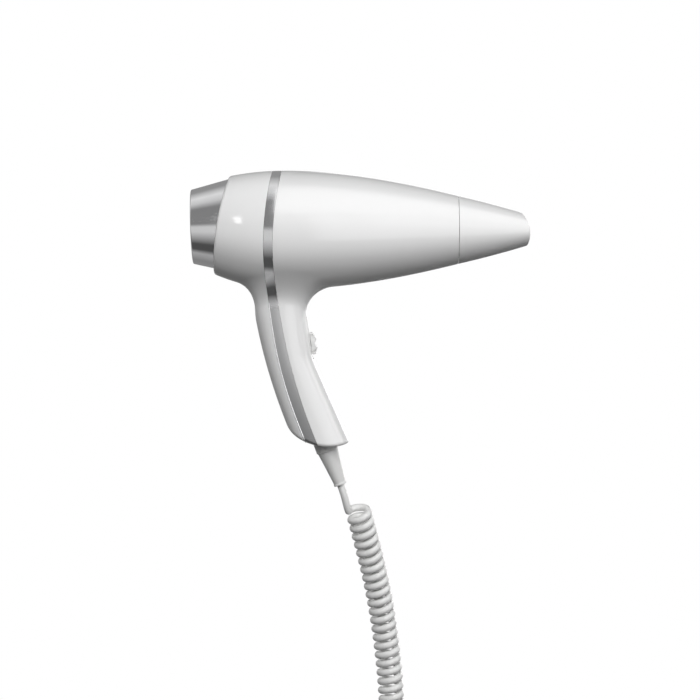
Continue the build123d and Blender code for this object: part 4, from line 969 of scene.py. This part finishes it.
# Where a reflected ray looks: how far along the dryer, and at what turn round its axis
direction = add(tree, "SeparateXYZ", {}, {0: add(tree, "TexCoord").outputs["Generated"]}).outputs
along = direction["X"]
toward = add(tree, "Math", {"operation": "MULTIPLY", 1: -1.0}, {0: direction["Y"]}).outputs[0]
turn = add(tree, "Math", {"operation": "ARCTAN2"}, {0: direction["Z"], 1: toward}).outputs[0]
turn_share = add(tree, "MapRange", {"From Min": -math.pi, "From Max": math.pi},
                 {"Value": turn}).outputs["Result"]


def strips(*stops):
    """Strips of light and dark that run along the dryer.

    A stop is a turn in degrees, 0 in front and 90 above, and a brightness."""
    ramp = add(tree, "ValToRGB", {}, {0: turn_share})
    elements = ramp.color_ramp.elements
    while len(elements) < len(stops):
        elements.new(0.5)
    for element, (degrees, value) in zip(elements, stops):
        element.position = (degrees + 180) / 360
        element.color = (value, value, value, 1)
    return ramp.outputs[0]


def step(value, at, soft):
    """0 below a value and 1 above it, with a soft change between."""
    return add(tree, "MapRange", {"interpolation_type": "SMOOTHSTEP",
                                  "From Min": at - soft, "From Max": at + soft},
               {"Value": value}).outputs["Result"]


def window(value, low, high, soft):
    """1 between two values and 0 outside them."""
    closed = add(tree, "Math", {"operation": "SUBTRACT", 0: 1.0}, {1: step(value, high, soft)}).outputs[0]
    return add(tree, "Math", {"operation": "MULTIPLY"}, {0: step(value, low, soft), 1: closed}).outputs[0]


# One plain room for the plating: a grey floor, a dark skirting line, a lit front, a grey wall
# above it and a lit ceiling.  The gloss shells forward of the band face a brighter ceiling
by_plating = strips((-180, 0.3), (-120, 0.3), (-90, 0.5), (-75, 0.1), (-55, 0.1), (-15, 0.8),
                    (0, 0.8), (10, 0.3), (60, 0.3), (80, 0.8), (100, 1.0), (130, 0.4), (180, 0.3))
in_front = strips((-180, 2.0), (-160, 0.2), (-60, 0.1), (-30, 1.0), (30, 1.0), (40, 3.0),
                  (85, 3.0), (105, 0.2), (160, 0.2), (180, 2.0))

# The line between the two lies this far towards the rear in front of the dryer, and runs to
# its middle behind it
FRONT_LINE, FRONT_SOFT = 0.1, 0.005
half_turn = add(tree, "Math", {"operation": "MULTIPLY", 1: 0.5}, {0: turn}).outputs[0]
bend = add(tree, "Math", {"operation": "COSINE"}, {0: half_turn}).outputs[0]
tight_bend = add(tree, "Math", {"operation": "POWER", 1: 2.0}, {0: bend}).outputs[0]
past_line = add(tree, "Math", {"operation": "MULTIPLY_ADD", 1: FRONT_LINE},
                {0: tight_bend, 2: along}).outputs[0]
glare = add(tree, "Mix", {"data_type": "FLOAT"},
            {0: step(past_line, 0, FRONT_SOFT), 2: by_plating, 3: in_front}).outputs[0]

# Softboxes: from and to turn, soft edge, from and to along the dryer, soft edge, and brightness
SOFTBOXES = ((15, 30, 3, -0.45, -0.40, 0.01, 10.0), (10, 35, 2, 0.3, 0.8, 0.02, 3.0),
             (-20, 35, 5, 0.1, 0.7, 0.05, 2.5), (145, 200, 5, 0.35, 0.7, 0.05, 3.0))
for low, high, soft, start, end, end_soft, level in SOFTBOXES:
    across = window(turn, math.radians(low), math.radians(high), math.radians(soft))
    shape = add(tree, "Math", {"operation": "MULTIPLY"},
                {0: across, 1: window(along, start, end, end_soft)}).outputs[0]
    lit = add(tree, "Math", {"operation": "MULTIPLY", 1: level}, {0: shape}).outputs[0]
    glare = add(tree, "Math", {"operation": "MAXIMUM"}, {0: glare, 1: lit}).outputs[0]

# Camera and transmitted rays see plain white, mirrored rays the room, and the rest a dim grey
DIM = 0.05
path = add(tree, "LightPath").outputs
mirrored = add(tree, "Background", {"Color": (1, 1, 1, 1)}, {"Strength": glare}).outputs[0]
plain = add(tree, "Background", {"Color": (1, 1, 1, 1), "Strength": DIM}).outputs[0]
white = add(tree, "Background", {"Color": (1, 1, 1, 1), "Strength": 1.0}).outputs[0]
clear = add(tree, "Math", {"operation": "MAXIMUM"},
            {0: path["Is Camera Ray"], 1: path["Is Transmission Ray"]}).outputs[0]
inner_mix = add(tree, "MixShader", {}, {0: path["Is Glossy Ray"], 1: plain, 2: mirrored}).outputs[0]
outer_mix = add(tree, "MixShader", {}, {0: clear, 1: inner_mix, 2: white}).outputs[0]
tree.links.new(outer_mix, add(tree, "OutputWorld").inputs["Surface"])

AIM = Vector((0.0397, 0.0, 0.0144))


def lamp(name, azimuth, elevation, distance, size, level):
    """A soft lamp at an azimuth (0 in front, 90 beyond the nozzle) and elevation in degrees.

    Its level is the brightness it gives a surface at AIM, whatever its distance."""
    data = bpy.data.lights.new(name, "AREA")
    data.shape = "DISK"
    data.size = size
    data.energy = level * math.pi**2 * distance**2
    side, up = math.radians(azimuth), math.radians(elevation)
    away = Vector((math.cos(up) * math.sin(side), -math.cos(up) * math.cos(side), math.sin(up)))
    made = thing(name, data)
    made.location = AIM + away * distance
    made.rotation_euler = away.to_track_quat("Z", "Y").to_euler()
    made.visible_glossy = False


lamp("key", 0, 28, 2.0, 0.9, 0.54)
lamp("top", 15, 50, 2.0, 0.9, 0.22)
lamp("left", -50, 15, 2.0, 0.9, 0.06)
lamp("side", 60, 20, 2.0, 0.9, 0.20)
lamp("low", 120, -10, 1.8, 0.7, 0.18)
lamp("rim", 150, 0, 1.8, 0.7, 0.45)
lamp("back", 215, 5, 2.0, 1.0, 0.35)

CAMERA_DISTANCE, CAMERA_RISE, LENS, SENSOR = 2.042, 5.0, 150, 36
camera = thing("camera", bpy.data.cameras.new("camera"))
camera.data.lens = LENS
camera.data.sensor_width = SENSOR
rise = math.radians(CAMERA_RISE)
away = Vector((0, -math.cos(rise), math.sin(rise)))
camera.location = AIM + away * CAMERA_DISTANCE
camera.rotation_euler = away.to_track_quat("Z", "Y").to_euler()
bpy.context.scene.camera = camera
bpy.context.scene.view_settings.view_transform = "Standard"
